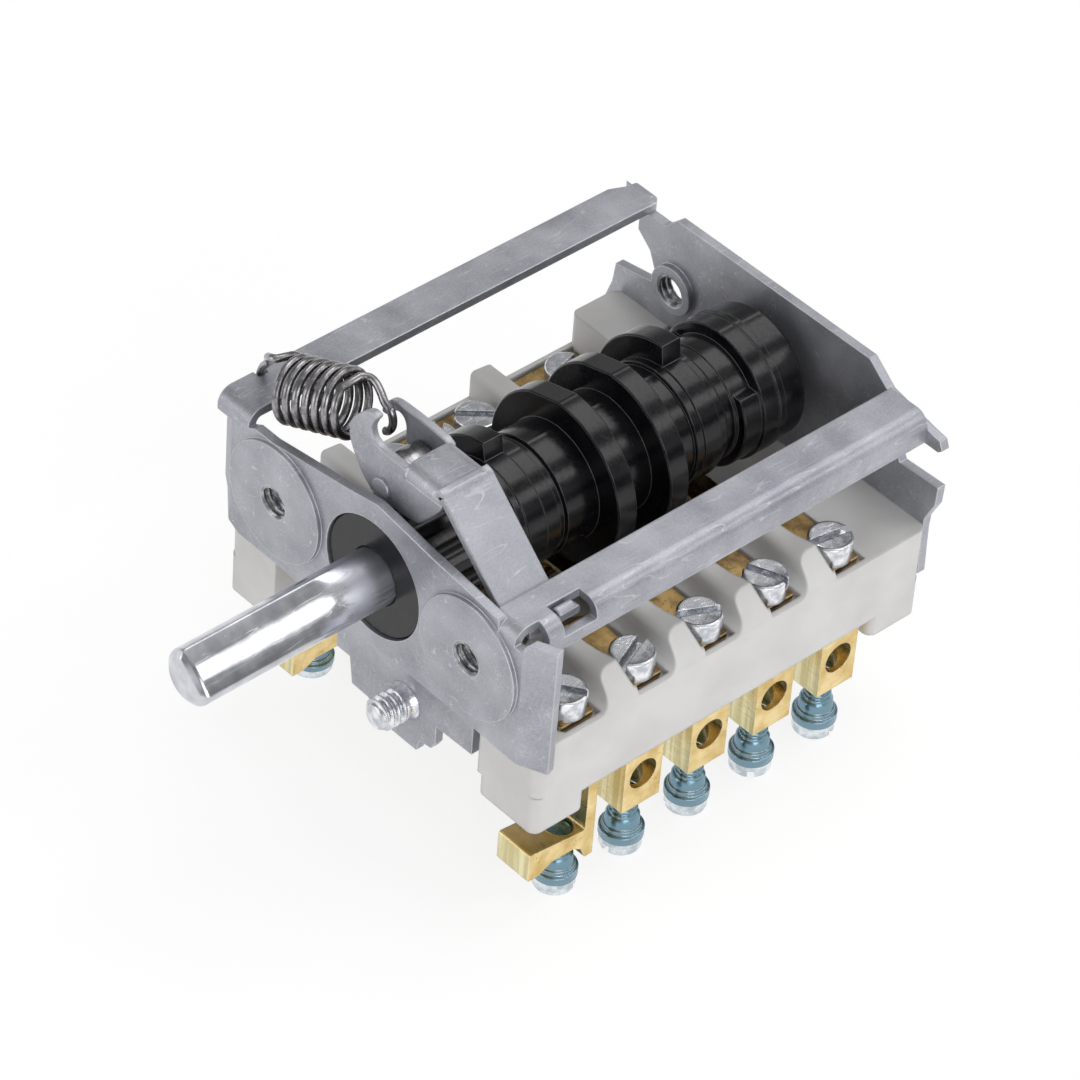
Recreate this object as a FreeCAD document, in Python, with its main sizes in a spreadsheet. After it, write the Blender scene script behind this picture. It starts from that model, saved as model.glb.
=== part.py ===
import FreeCAD
import Part
import math
import os
import Sketcher
from collections import namedtuple
from FreeCAD import Placement, Rotation, Vector

# Oven selector switch: a cam drum between two steel end plates, over a ceramic
# base with five contact pairs. All lengths are millimetres. X runs across the
# front, Y from the knob shaft to the rear plate, Z up. The origin is where the
# shaft axis meets the two mounting pads.

os.makedirs("parts", exist_ok=True)
doc = FreeCAD.newDocument("oven_selector_switch")

# Driving sizes: a word, a value in millimetres (or degrees, or a count), a note.
SIZES = (
    ("sheet_wall", 1.0, "steel sheet of the front frame and the rear plate"),
    ("pad_rise", 0.5, "height of the embossed mounting pads"),
    ("pad_radius", 6.6, "radius of a mounting pad"),
    ("fixing_spacing", 28.0, "distance between the two fixing holes"),
    ("fixing_radius", 1.85, "radius of a tapped fixing hole"),
    ("collar_radius", 2.8, "outer radius of the drawn collar of a fixing hole"),
    ("collar_height", 1.4, "height of the drawn collar"),
    ("bearing_radius", 6.7, "hole for the drum in the front plate"),
    ("journal_gap", 0.08, "radial running gap of the drum in both plates"),
    ("plate_bend", 21.0, "where the front plate's sides bend back"),
    ("plate_left", 22.7, "left edge of the front plate from the axis"),
    ("plate_right", 24.0, "right edge of the front plate from the axis"),
    ("wing_slope", 0.5, "set-back of the bent sides for each millimetre"),
    ("plate_foot", 8.1, "lower edge of the front plate below the axis"),
    ("plate_crown", 9.2, "peak of the front plate above the axis"),
    ("tongue_setback", 2.5, "front face of the lower tongue"),
    ("tongue_left", 6.7, "left edge of the tongue from the axis"),
    ("tongue_right", 13.1, "right edge of the tongue from the axis"),
    ("tongue_bottom", 19.8, "lowest edge of the tongue below the axis"),
    ("earth_x", 3.5, "earth stud from the axis"),
    ("earth_z", 14.6, "earth stud below the axis"),
    ("earth_radius", 1.95, "thread of the earth stud"),
    ("earth_reach", 3.9, "earth stud in front of the tongue"),
    ("left_strap_top", 7.75, "upper face of the left strap"),
    ("left_strap_out", 23.2, "outer edge of the left strap"),
    ("left_strap_in", 18.6, "inner edge of the left strap"),
    ("right_strap_top", 7.0, "upper face of the right strap"),
    ("right_strap_out", 21.4, "outer face of the right strap's flange"),
    ("right_strap_in", 16.1, "inner edge of the right strap"),
    ("right_strap_drop", 3.6, "lower edge of the right strap's flange"),
    ("strap_bend", 1.7, "outer radius of the strap bends"),
    ("flange_front", 3.4, "front end of the right strap's flange"),
    ("hook_y", 5.5, "spring hook behind the mounting pads"),
    ("window_front", 5.3, "front end of the window in the right strap"),
    ("window_rear", 9.4, "rear end of the window in the right strap"),
    ("window_in", 18.7, "inner side of the window in the right strap"),
    ("rear_plate_at", 53.0, "inner face of the rear plate"),
    ("rear_plate_top", 8.6, "upper edge of the rear plate"),
    ("rear_plate_foot", 12.7, "lower edge of the rear plate below the axis"),
    ("rear_wing", 23.8, "half width of the rear plate at its wings"),
    ("base_right", 23.2, "right side of the ceramic base from the axis"),
    ("base_left", 22.0, "left side of the ceramic base from the axis"),
    ("base_front", 1.6, "front face of the ceramic base"),
    ("base_wall", 2.2, "ceramic under the trough"),
    ("base_lip", 6.2, "upper edge of the right side wall below the axis"),
    ("left_lip", 9.1, "upper edge of the left side wall below the axis"),
    ("seat_floor", 6.8, "floor of the right contact seats below the axis"),
    ("left_seat_floor", 10.3, "floor of the left contact seats below the axis"),
    ("ridge_top", 2.7, "crest of the ridges between the poles"),
    ("post_top", 5.9, "top of the left posts below the axis"),
    ("post_first", 13.1, "front face of the first left post"),
    ("post_pitch", 19.8, "distance between the left posts"),
    ("post_width", 2.6, "flat top of a left post"),
    ("post_length", 4.9, "left post with its rear slope"),
    ("post_in", 14.2, "inner side of the left posts from the axis"),
    ("rear_block", 6.5, "depth of the block at the left rear corner"),
    ("rear_block_top", 5.0, "top of the left rear block below the axis"),
    ("foot_height", 2.5, "height of the corner feet"),
    ("foot_depth", 6.6, "depth of a corner foot"),
    ("foot_in", 15.0, "inner side of a corner foot"),
    ("shelf_width", 1.5, "right shelf beside the trough"),
    ("trough_half", 11.5, "half width of the trough under the drum"),
    ("contact_room", 3.3, "height of the contacts between the cams and the trough floor"),
    ("pole_count", 5, "contact pairs"),
    ("first_pole", 7.1, "first pole behind the mounting pads"),
    ("pole_pitch", 8.77, "distance between poles"),
    ("screw_inset", 3.0, "right contact screws from the side wall"),
    ("left_screw_inset", 4.4, "left contact screws from the side wall"),
    ("contact_screw_shank", 1.5, "thread radius of a contact screw"),
    ("contact_head", 2.3, "head radius of a contact screw"),
    ("contact_head_height", 2.4, "head height of a contact screw"),
    ("bar_wall", 0.6, "thickness of the upper contact bar"),
    ("leaf_wall", 0.4, "thickness of a spring leaf"),
    ("bar_width", 4.2, "width of a right contact bar"),
    ("left_bar_wall", 1.0, "thickness of a left contact bar"),
    ("seat_play", 0.3, "room round a left contact bar"),
    ("bar_inset", 0.9, "outer end of a contact bar from the side wall"),
    ("leaf_width", 3.6, "width of a spring leaf"),
    ("leaf_past", 3.0, "free end of a spring leaf beyond the axis"),
    ("strip_wall", 0.6, "thickness of a fixed contact strip"),
    ("leaf_gap", 0.3, "free height between the highest cam and a leaf"),
    ("rivet_x", 1.4, "silver contact rivets left of the axis"),
    ("rivet_radius", 1.2, "radius of a silver contact rivet"),
    ("rivet_height", 0.6, "height of a silver contact rivet"),
    ("block_length", 4.7, "right terminal block across the row"),
    ("left_block_length", 7.2, "left terminal block across the row"),
    ("left_block_inset", 2.6, "left terminal blocks from the side wall"),
    ("left_corner_inset", 5.4, "left corner terminal from the side wall"),
    ("left_corner_lift", 1.2, "left corner terminal above the right one"),
    ("block_width", 4.9, "terminal block along the row"),
    ("block_height", 6.7, "height of a terminal block"),
    ("wire_radius", 1.75, "wire entry of a terminal block"),
    ("wire_depth", 2.7, "wire entry below the base"),
    ("clamp_inset", 2.2, "right clamp screws from the side wall"),
    ("left_clamp_inset", 6.7, "left clamp screws from the side wall"),
    ("clamp_shank", 1.5, "thread radius of a clamp screw"),
    ("clamp_head", 2.35, "head radius of a clamp screw"),
    ("clamp_head_height", 2.0, "head height of a clamp screw"),
    ("clamp_cone", 1.4, "height of the flange of a clamp screw"),
    ("clamp_drop", 6.9, "lowest face of the right clamp screws below a block"),
    ("left_clamp_drop", 4.9, "lowest face of the left clamp screws below a block"),
    ("screw_slot", 0.9, "driver slot width"),
    ("screw_slot_depth", 1.0, "driver slot depth"),
    ("thread_gap", 0.05, "radial gap between a screw and its hole"),
    ("shaft_radius", 3.0, "radius of the knob shaft"),
    ("shaft_flat", 1.6, "flat of the knob shaft from the axis"),
    ("shaft_tip", 22.5, "knob shaft in front of the mounting pads"),
    ("shaft_round", 3.0, "full round length in front of the plate"),
    ("shaft_inner", 12.0, "end of the shaft inside the drum"),
    ("shaft_chamfer", 0.7, "chamfer of the shaft tip"),
    ("flat_turn", 40.6, "turn of the shaft flat from straight up, in degrees"),
    ("drum_front", 0.8, "front face of the drum"),
    ("detent_front", 2.9, "front face of the detent wheel"),
    ("detent_rear", 8.6, "rear face of the detent wheel"),
    ("detent_radius", 6.6, "crests of the detent wheel"),
    ("detent_depth", 0.7, "depth of a detent notch"),
    ("detent_count", 12, "notches of the detent wheel"),
    ("barrel_radius", 6.5, "barrel between the cams"),
    ("barrel_groove", 0.4, "depth of the grooves round the barrel"),
    ("cam_radius", 9.3, "radius of the cams"),
    ("cam_dwell", 0.4, "height of a half cam's low side above the barrel"),
    ("cam_width", 2.45, "width of a cam"),
    ("cam_first", 14.7, "front face of the first cam"),
    ("cam_second", 23.8, "front face of the second cam"),
    ("groove_place", 5.0, "groove of the barrel in front of the second cam"),
    ("cam_pitch", 6.85, "distance between the second, third and fourth cams"),
    ("first_cam_drop", 0.7, "first cam below the others"),
    ("cam_flat_start", 28.0, "turn of the flat's left end from straight up, in degrees"),
    ("cam_flat_end", 3.0, "turn of the flat's right end from straight up, in degrees"),
    ("collar_width", 3.0, "width of the collar on the rear drum"),
    ("collar_back", 3.1, "rear face of the collar from the end of the rear drum"),
    ("collar_rise", 0.3, "height of the collar above the rear drum"),
    ("rear_drum_radius", 7.2, "rear drum"),
    ("scoop_length", 2.4, "length of the scoop in front of the collar"),
    ("scoop_level", 3.9, "floor of the scoop in the rear drum above the axis"),
    ("rear_drum_gap", 1.9, "rear drum from the rear plate"),
    ("rear_journal", 4.0, "radius of the rear journal"),
    ("lever_wall", 0.9, "sheet of the detent lever"),
    ("lever_front", 2.5, "front face of the lever"),
    ("lever_rear", 8.8, "rear face of the lever"),
    ("lever_break_x", 6.5, "bend of the lever from the axis"),
    ("lever_rise", 4.7, "bend of the lever above the roller axis"),
    ("lever_bridge", 4.1, "left edge of the lever's top sheet from the axis"),
    ("lever_cheek_end", 8.0, "left end of the lever's cheeks from the axis"),
    ("lever_window_left", 2.6, "left end of the lever's window from the axis"),
    ("lever_window_right", 3.2, "right end of the lever's window from the axis"),
    ("ear_rise", 3.3, "tip of the lever's front ear above its bend"),
    ("roller_x", 1.4, "roller axis left of the shaft axis"),
    ("roller_room", 0.2, "roller above the detent crests"),
    ("roller_radius", 2.5, "radius of the detent roller"),
    ("roller_gap", 0.15, "end play of the roller between the cheeks"),
    ("pin_radius", 0.85, "radius of the roller pin"),
    ("pin_gap", 0.05, "running gap of the roller on its pin"),
    ("spring_start_x", 17.0, "left end of the spring's turns from the axis"),
    ("spring_end_x", 8.6, "right end of the spring's turns from the axis"),
    ("spring_start_rise", 3.15, "left end of the spring's axis above the strap"),
    ("spring_end_rise", 1.6, "right end of the spring's axis under the lever's bend"),
    ("spring_wire", 0.75, "wire of the detent spring"),
    ("spring_coil", 6.8, "outer diameter of the detent spring"),
    ("spring_turns", 7, "turns of the detent spring"),
)

sheet = doc.addObject("Spreadsheet::Sheet", "sizes")
for row, (word, amount, note) in enumerate(SIZES, 1):
    sheet.set("A%d" % row, word)
    sheet.set("B%d" % row, str(amount))
    sheet.set("C%d" % row, note)
    sheet.setAlias("B%d" % row, word)
doc.recompute()


class Size(float):
    """A number that remembers the sheet formula it comes from."""

    def __new__(cls, value, formula):
        number = float.__new__(cls, value)
        number.formula = formula
        return number

    def __add__(self, other):
        return Size(float(self) + float(other), "(%s + %s)" % (self.formula, formula_of(other)))

    def __radd__(self, other):
        return Size(float(other) + float(self), "(%s + %s)" % (formula_of(other), self.formula))

    def __sub__(self, other):
        return Size(float(self) - float(other), "(%s - %s)" % (self.formula, formula_of(other)))

    def __rsub__(self, other):
        return Size(float(other) - float(self), "(%s - %s)" % (formula_of(other), self.formula))

    def __mul__(self, other):
        return Size(float(self) * float(other), "(%s * %s)" % (self.formula, formula_of(other)))

    def __rmul__(self, other):
        return Size(float(other) * float(self), "(%s * %s)" % (formula_of(other), self.formula))

    def __truediv__(self, other):
        return Size(float(self) / float(other), "(%s / %s)" % (self.formula, formula_of(other)))

    def __neg__(self):
        return Size(-float(self), "(-1 * %s)" % self.formula)


def formula_of(number):
    """The sheet formula of a size, or the plain number as text."""
    if isinstance(number, Size):
        return number.formula
    return "%.9g" % number


class Lengths:
    """Every word of the sheet as a size."""

    def __getattr__(self, word):
        return Size(getattr(sheet, word), "sizes." + word)


s = Lengths()


def bind(thing, field, amount):
    """Ties a field of a feature to the sheet."""
    thing.setExpression(field, formula_of(amount))


PLANES = {"XY": "XY_Plane", "XZ": "XZ_Plane", "YZ": "YZ_Plane"}


class Ring:
    """A circle of a sketch: its centre and radius."""

    def __init__(self, across, up, radius):
        self.across = across
        self.up = up
        self.radius = radius


def hold_point(held, sketch, geometry, point, across, up):
    """Holds one point of a sketch from the sketch origin, both ways."""
    for kind, amount in (("DistanceX", across), ("DistanceY", up)):
        index = sketch.addConstraint(
            Sketcher.Constraint(kind, -1, 1, geometry, point, float(amount)))
        held.append((index, amount))


def draw_ring(sketch, ring):
    """Draws a circle held by its centre and radius."""
    held = []
    centre = Vector(float(ring.across), float(ring.up), 0)
    circle = sketch.addGeometry(Part.Circle(centre, Vector(0, 0, 1), float(ring.radius)))
    hold_point(held, sketch, circle, 3, ring.across, ring.up)
    index = sketch.addConstraint(Sketcher.Constraint("Radius", circle, float(ring.radius)))
    held.append((index, ring.radius))
    return held


def round_corner(here, before, after, radius):
    """Tangent points, centre and turn of an arc that rounds one corner."""
    back = (before - here).normalize()
    ahead = (after - here).normalize()
    half = math.acos(max(-1.0, min(1.0, back.dot(ahead)))) / 2
    reach = radius / math.tan(half)
    middle = (back + ahead).normalize()
    centre = here + middle * (radius / math.sin(half))
    turn = ahead.x * back.y - ahead.y * back.x
    return here + back * reach, here + ahead * reach, centre, turn


def angle_of(point, centre):
    """Direction of a point seen from a centre, in radians."""
    return math.atan2(point.y - centre.y, point.x - centre.x)


def draw_outline(sketch, corners):
    """Closed outline. Each corner is held from the origin; a third value rounds it."""
    count = len(corners)
    points = [Vector(float(corner[0]), float(corner[1]), 0) for corner in corners]
    radii = [float(corner[2]) if len(corner) > 2 else 0.0 for corner in corners]
    starts = list(points)
    ends = list(points)
    arcs = {}
    for i in range(count):
        if radii[i] > 0:
            found = round_corner(points[i], points[i - 1], points[(i + 1) % count], radii[i])
            ends[i], starts[i] = found[0], found[1]
            arcs[i] = found
    lines = []
    for i in range(count):
        segment = Part.LineSegment(starts[i], ends[(i + 1) % count])
        lines.append(sketch.addGeometry(segment))
    held = []
    for i in range(count):
        line_in = lines[i - 1]
        line_out = lines[i]
        if i not in arcs:
            sketch.addConstraint(Sketcher.Constraint("Coincident", line_in, 2, line_out, 1))
            hold_point(held, sketch, line_out, 1, corners[i][0], corners[i][1])
            continue
        first, last, centre, turn = arcs[i]
        left_turn = turn > 0
        if left_turn:
            begin, finish = angle_of(first, centre), angle_of(last, centre)
        else:
            begin, finish = angle_of(last, centre), angle_of(first, centre)
        circle = Part.Circle(centre, Vector(0, 0, 1), radii[i])
        arc = sketch.addGeometry(Part.ArcOfCircle(circle, begin, finish))
        near, far = (1, 2) if left_turn else (2, 1)
        corner = sketch.addGeometry(Part.Point(points[i]), True)
        sketch.addConstraint([
            Sketcher.Constraint("Tangent", line_in, 2, arc, near),
            Sketcher.Constraint("Tangent", arc, far, line_out, 1),
            Sketcher.Constraint("PointOnObject", corner, 1, line_in),
            Sketcher.Constraint("PointOnObject", corner, 1, line_out)])
        index = sketch.addConstraint(Sketcher.Constraint("Radius", arc, radii[i]))
        held.append((index, corners[i][2]))
        hold_point(held, sketch, corner, 1, corners[i][0], corners[i][1])
    return held


def new_body(label):
    """A new body with its own label."""
    body = doc.addObject("PartDesign::Body", label)
    body.Label = label
    return body


def origin_part(body, role):
    """A plane or an axis of the body's own origin."""
    for feature in body.Origin.OriginFeatures:
        if feature.Role == role:
            return feature
    raise ValueError("no origin feature " + role)


def new_sketch(body, plane, at, loops):
    """A sketch on one of the body's planes, moved along the part's own axis."""
    sketch = body.newObject("Sketcher::SketchObject", body.Label + "_sketch")
    sketch.AttachmentSupport = (origin_part(body, PLANES[plane]), [""])
    sketch.MapMode = "FlatFace"
    bind(sketch, "AttachmentOffset.Base.z", -1 * at if plane == "XZ" else at)
    for loop in loops:
        held = draw_ring(sketch, loop) if isinstance(loop, Ring) else draw_outline(sketch, loop)
        for index, amount in held:
            if isinstance(amount, Size):
                bind(sketch, "Constraints[%d]" % index, amount)
    return sketch


def pad(body, plane, low, high, *loops):
    """Adds material between two levels."""
    sketch = new_sketch(body, plane, high if plane == "XZ" else low, loops)
    feature = body.newObject("PartDesign::Pad", body.Label + "_pad")
    feature.Profile = sketch
    bind(feature, "Length", high - low)
    return feature


def pocket(body, plane, low, high, *loops):
    """Takes material away between two levels."""
    sketch = new_sketch(body, plane, low if plane == "XZ" else high, loops)
    feature = body.newObject("PartDesign::Pocket", body.Label + "_pocket")
    feature.Profile = sketch
    bind(feature, "Length", high - low)
    return feature


def turned(body, plane, *loops):
    """Adds a body of revolution about the sketch's upright axis."""
    sketch = new_sketch(body, plane, 0, loops)
    feature = body.newObject("PartDesign::Revolution", body.Label + "_turned")
    feature.Profile = sketch
    feature.ReferenceAxis = (sketch, ["V_Axis"])
    feature.Angle = 360.0
    return feature


def part_cylinder(label, radius, low, high, along, centre=(0, 0)):
    """A cylinder along X, Y or Z between two levels; centre is its other two places."""
    cylinder = doc.addObject("Part::Cylinder", label)
    cylinder.Label = label
    turns = {"x": Rotation(Vector(0, 1, 0), 90), "y": Rotation(Vector(1, 0, 0), -90), "z": Rotation()}
    cylinder.Placement = Placement(Vector(), turns[along])
    bind(cylinder, "Radius", radius)
    bind(cylinder, "Height", high - low)
    others = [axis for axis in "xyz" if axis != along]
    bind(cylinder, "Placement.Base." + along, low)
    for axis, amount in zip(others, centre):
        bind(cylinder, "Placement.Base." + axis, amount)
    return cylinder


def join(label, parts):
    """One solid made of several."""
    fused = doc.addObject("Part::MultiFuse", label)
    fused.Label = label
    fused.Shapes = parts
    return fused


def cut(label, base, tool):
    """One solid with another taken away."""
    result = doc.addObject("Part::Cut", label)
    result.Label = label
    result.Base = base
    result.Tool = tool
    return result


def rectangle(left, right, low, high, radius=None):
    """Four corners, rounded if a radius is given."""
    corners = [(left, low), (right, low), (right, high), (left, high)]
    if radius is None:
        return corners
    return [(across, up, radius) for across, up in corners]


def ordered(first, second):
    """Two levels with the lower one first."""
    return (first, second) if float(first) < float(second) else (second, first)


def pole_y(index):
    """Place of one pole along Y, counted from nought."""
    return s.first_pole + index * s.pole_pitch


# How far the outlines of cuts run past the material.
PAST = 1.0
AROUND = 3.0

POLES = range(int(sheet.pole_count))
PLATE_BACK = s.pad_rise + s.sheet_wall
TOP_LEFT = s.left_strap_top
TOP_RIGHT = s.right_strap_top
TROUGH_FLOOR = s.cam_radius + s.contact_room
BASE_UNDER = TROUGH_FLOOR + s.base_wall
FOOT_UNDER = BASE_UNDER + s.foot_height
BLOCK_UNDER = BASE_UNDER + s.block_height
WIRE_Z = BASE_UNDER + s.wire_depth
SECOND_POST = s.post_first + s.post_pitch
BLOCK_FRONT = s.rear_plate_at - s.rear_block
ROLLER_Z = s.detent_radius + s.roller_radius + s.roller_room
BREAK_Z = ROLLER_Z + s.lever_rise
DRUM_END = s.rear_plate_at - s.rear_drum_gap
COLLAR_REAR = DRUM_END - s.collar_back
COLLAR_FRONT = COLLAR_REAR - s.collar_width
REAR_DRUM_FRONT = COLLAR_FRONT - s.scoop_length

# The left row has three open seats: one pole, three poles, one pole.
FIRST_SEAT = (s.base_front + 1.0, s.post_first - s.seat_play)
MIDDLE_SEAT = (s.post_first + s.post_width + 0.7, SECOND_POST - s.seat_play)
LAST_SEAT = (SECOND_POST + s.post_length, BLOCK_FRONT)
THIRD = (MIDDLE_SEAT[1] - MIDDLE_SEAT[0]) / 3


def within(span, room):
    """A stretch shortened at both ends."""
    return (span[0] + room, span[1] - room)


def left_spans():
    """Stretches along Y that the left contact bars fill."""
    thirds = [(MIDDLE_SEAT[0] + THIRD * index, MIDDLE_SEAT[0] + THIRD * (index + 1)) for index in range(3)]
    return [within(span, s.seat_play) for span in [FIRST_SEAT] + thirds + [LAST_SEAT]]


def left_places():
    """Places of the left screws along Y."""
    middle = [(front + rear) / 2 for front, rear in left_spans()]
    return [s.first_pole] + middle[1:]


# One row of contacts. Every x and every level is a plain distance from the
# axis; block and corner hold the outer and inner face of the terminals.
Row = namedtuple("Row", "name sign seat bar_top bar_wall bar_end screw_x clamp_x clamp_bottom "
                        "block corner corner_low places spans")

RIGHT = Row("right", 1, s.seat_floor, s.seat_floor - s.leaf_wall - s.bar_wall, s.bar_wall,
            s.base_right - s.bar_inset, s.base_right - s.screw_inset, s.base_right - s.clamp_inset,
            BLOCK_UNDER + s.clamp_drop, (s.base_right, s.base_right - s.block_length),
            (s.base_right - 0.2, s.base_right - s.block_length), BLOCK_UNDER,
            [pole_y(index) for index in POLES],
            [(pole_y(index) - s.bar_width / 2, pole_y(index) + s.bar_width / 2) for index in POLES])
LEFT = Row("left", -1, s.left_seat_floor, s.left_seat_floor - s.left_bar_wall, s.left_bar_wall,
           s.base_left - s.bar_inset, s.base_left - s.left_screw_inset,
           s.base_left - s.left_clamp_inset, BLOCK_UNDER + s.left_clamp_drop,
           (s.base_left - s.left_block_inset, s.base_left - s.left_block_inset - s.left_block_length),
           (s.base_left - s.left_corner_inset, s.base_left - s.left_corner_inset - s.block_length),
           BLOCK_UNDER - s.left_corner_lift, left_places(), left_spans())


def plan_of_plate():
    """Plan of the front plate: flat in the middle, both sides bent back."""
    left_back = s.pad_rise + (s.plate_left - s.plate_bend) * s.wing_slope
    right_back = s.pad_rise + (s.plate_right - s.plate_bend) * s.wing_slope
    return [
        (-s.plate_left, left_back), (-s.plate_bend, s.pad_rise),
        (s.plate_bend, s.pad_rise), (s.plate_right, right_back),
        (s.plate_right - 0.3, right_back + s.sheet_wall),
        (s.plate_bend - 0.3, PLATE_BACK), (0.3 - s.plate_bend, PLATE_BACK),
        (0.3 - s.plate_left, left_back + s.sheet_wall)]


def front_view_of_plate():
    """Front view of the plate: a low gable above, a straight foot below."""
    foot = -s.plate_foot
    return [
        (-s.plate_left, TOP_LEFT - s.strap_bend), (-s.plate_left, -3.0), (-21.8, -3.8), (-21.2, -7.2),
        (-19.5, foot), (8.7, foot), (s.plate_right, foot - 0.7),
        (s.plate_right, TOP_RIGHT - 0.5), (s.plate_bend + 0.3, TOP_RIGHT - 0.4, 0.2),
        (s.plate_bend - 0.2, TOP_RIGHT - s.strap_bend),
        (s.right_strap_in + 1.4, TOP_RIGHT - s.strap_bend), (s.right_strap_in + 1.4, TOP_RIGHT + 0.1, 0.4),
        (7.7, s.plate_crown - 1.1, 2.0), (0.0, s.plate_crown, 2.0),
        (-4.5, s.plate_crown - 0.9, 2.0), (-15.1, s.plate_crown - 2.6, 1.0),
        (1.0 - s.left_strap_in, s.plate_crown - 2.6), (-s.left_strap_in, TOP_LEFT - s.strap_bend)]


def make_front_frame():
    """Folded front plate with its two straps, pads, drawn collars and tongue."""
    body = new_body("front_frame")
    half = s.fixing_spacing / 2
    low = -s.plate_foot - 2.0
    high = s.plate_crown + 1.0
    pad(body, "XY", low, high, plan_of_plate())
    frame = rectangle(-s.plate_left - AROUND, s.plate_right + AROUND, low - PAST, high + PAST)
    pocket(body, "XZ", s.pad_rise - PAST / 2, PLATE_BACK + AROUND, frame, front_view_of_plate())
    fold_strap(body, -s.left_strap_out, -s.left_strap_in, TOP_LEFT, s.rear_plate_at + s.sheet_wall)
    shape_left_strap(body)
    fold_strap(body, s.right_strap_in, s.right_strap_out - s.strap_bend, TOP_RIGHT, s.rear_plate_at)
    shape_right_strap(body)
    pad(body, "YZ", -s.tongue_left, s.tongue_right, tongue_profile())
    shape_tongue(body)
    for side in (-1, 1):
        pad(body, "XZ", 0, s.pad_rise, Ring(side * half, 0, s.pad_radius))
        pad(body, "XZ", PLATE_BACK, PLATE_BACK + s.collar_height, Ring(side * half, 0, s.collar_radius))
        pocket(body, "XZ", s.pad_rise - PAST, PLATE_BACK + s.collar_height + PAST,
               Ring(side * half, 0, s.fixing_radius))
    pocket(body, "XZ", s.pad_rise - PAST, PLATE_BACK + PAST, Ring(0, 0, s.bearing_radius))
    return body


def fold_strap(body, left, right, top, rear):
    """A strap folded back from the top of the plate, with a rounded fold."""
    bend = s.strap_bend
    wall = s.sheet_wall
    pad(body, "YZ", left, right, [
        (s.pad_rise, top - bend - 0.6), (s.pad_rise, top, bend), (rear, top),
        (rear, top - wall), (s.pad_rise + wall, top - wall, bend - wall),
        (s.pad_rise + wall, top - bend - 0.6)])


def shape_left_strap(body):
    """Hook behind the rear plate, a notch for the spring and cut far corners."""
    rear = s.rear_plate_at + s.sheet_wall
    lip = rear + 0.05
    out = -s.left_strap_out
    pad(body, "YZ", out + 0.9, -s.left_strap_in - 1.0, [
        (rear - 0.5, TOP_LEFT - s.sheet_wall), (lip, TOP_LEFT - s.sheet_wall), (lip, TOP_LEFT - 3.0),
        (lip + s.sheet_wall, TOP_LEFT - 3.0), (lip + s.sheet_wall, TOP_LEFT, 0.8),
        (rear - 0.5, TOP_LEFT)])
    low = TOP_LEFT - s.sheet_wall - 0.5
    notch = s.spring_wire + 0.45
    pocket(body, "XY", low, TOP_LEFT + 1.0,
           [(out - 1, s.hook_y - notch / 2), (out + 0.95, s.hook_y - notch / 2, 0.2),
            (out + 0.95, s.hook_y + notch / 2, 0.2), (out - 1, s.hook_y + notch / 2)],
           [(out - 1, rear - 2.5), (out, rear - 2.5), (out + 0.9, rear - 0.4), (out - 1, rear + 0.5)])


def shape_right_strap(body):
    """Rounded side flange of the right strap, with the window of the lever's heel."""
    out = s.right_strap_out
    bend = s.strap_bend
    wall = s.sheet_wall
    top = TOP_RIGHT
    pad(body, "XZ", s.flange_front, s.rear_plate_at, [
        (out - bend - 0.4, top), (out - bend - 0.4, top - wall), (out - wall, top - wall, bend - wall),
        (out - wall, s.right_strap_drop), (out, s.right_strap_drop), (out, top, bend)])
    pocket(body, "XY", top - wall - PAST, top + PAST,
           rectangle(s.window_in, out + PAST, s.window_front, s.window_rear))


def tongue_profile():
    """Side view of the tongue: it steps back below the plate's lower edge."""
    wall = s.sheet_wall
    step = s.tongue_setback
    start = -s.plate_foot
    return [
        (s.pad_rise, start + 1.0), (s.pad_rise, start - 0.2), (step, start - 2.8),
        (step, -s.tongue_bottom), (step + wall, -s.tongue_bottom),
        (step + wall, start - 2.5), (PLATE_BACK, start + 0.1), (PLATE_BACK, start + 1.0)]


def shape_tongue(body):
    """Trims the tongue to its stepped outline and drills it for the earth stud."""
    bottom = -s.tongue_bottom
    left = -s.tongue_left
    right = s.tongue_right
    pocket(body, "XZ", s.tongue_setback - 0.5, s.tongue_setback + s.sheet_wall + 1.0,
           [(left - 1, bottom - 1), (1.6, bottom - 1), (1.6, bottom), (-1.8, -18.1),
            (-4.2, -18.0), (-4.7, -14.8), (left - 1, -14.8)],
           [(5.2, bottom - 1), (right + 1, bottom - 1), (right + 1, -14.6), (8.0, -14.8),
            (8.0, -17.1), (7.5, -18.0), (5.8, -18.3)],
           Ring(s.earth_x, -s.earth_z, s.earth_radius - 0.25))


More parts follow.
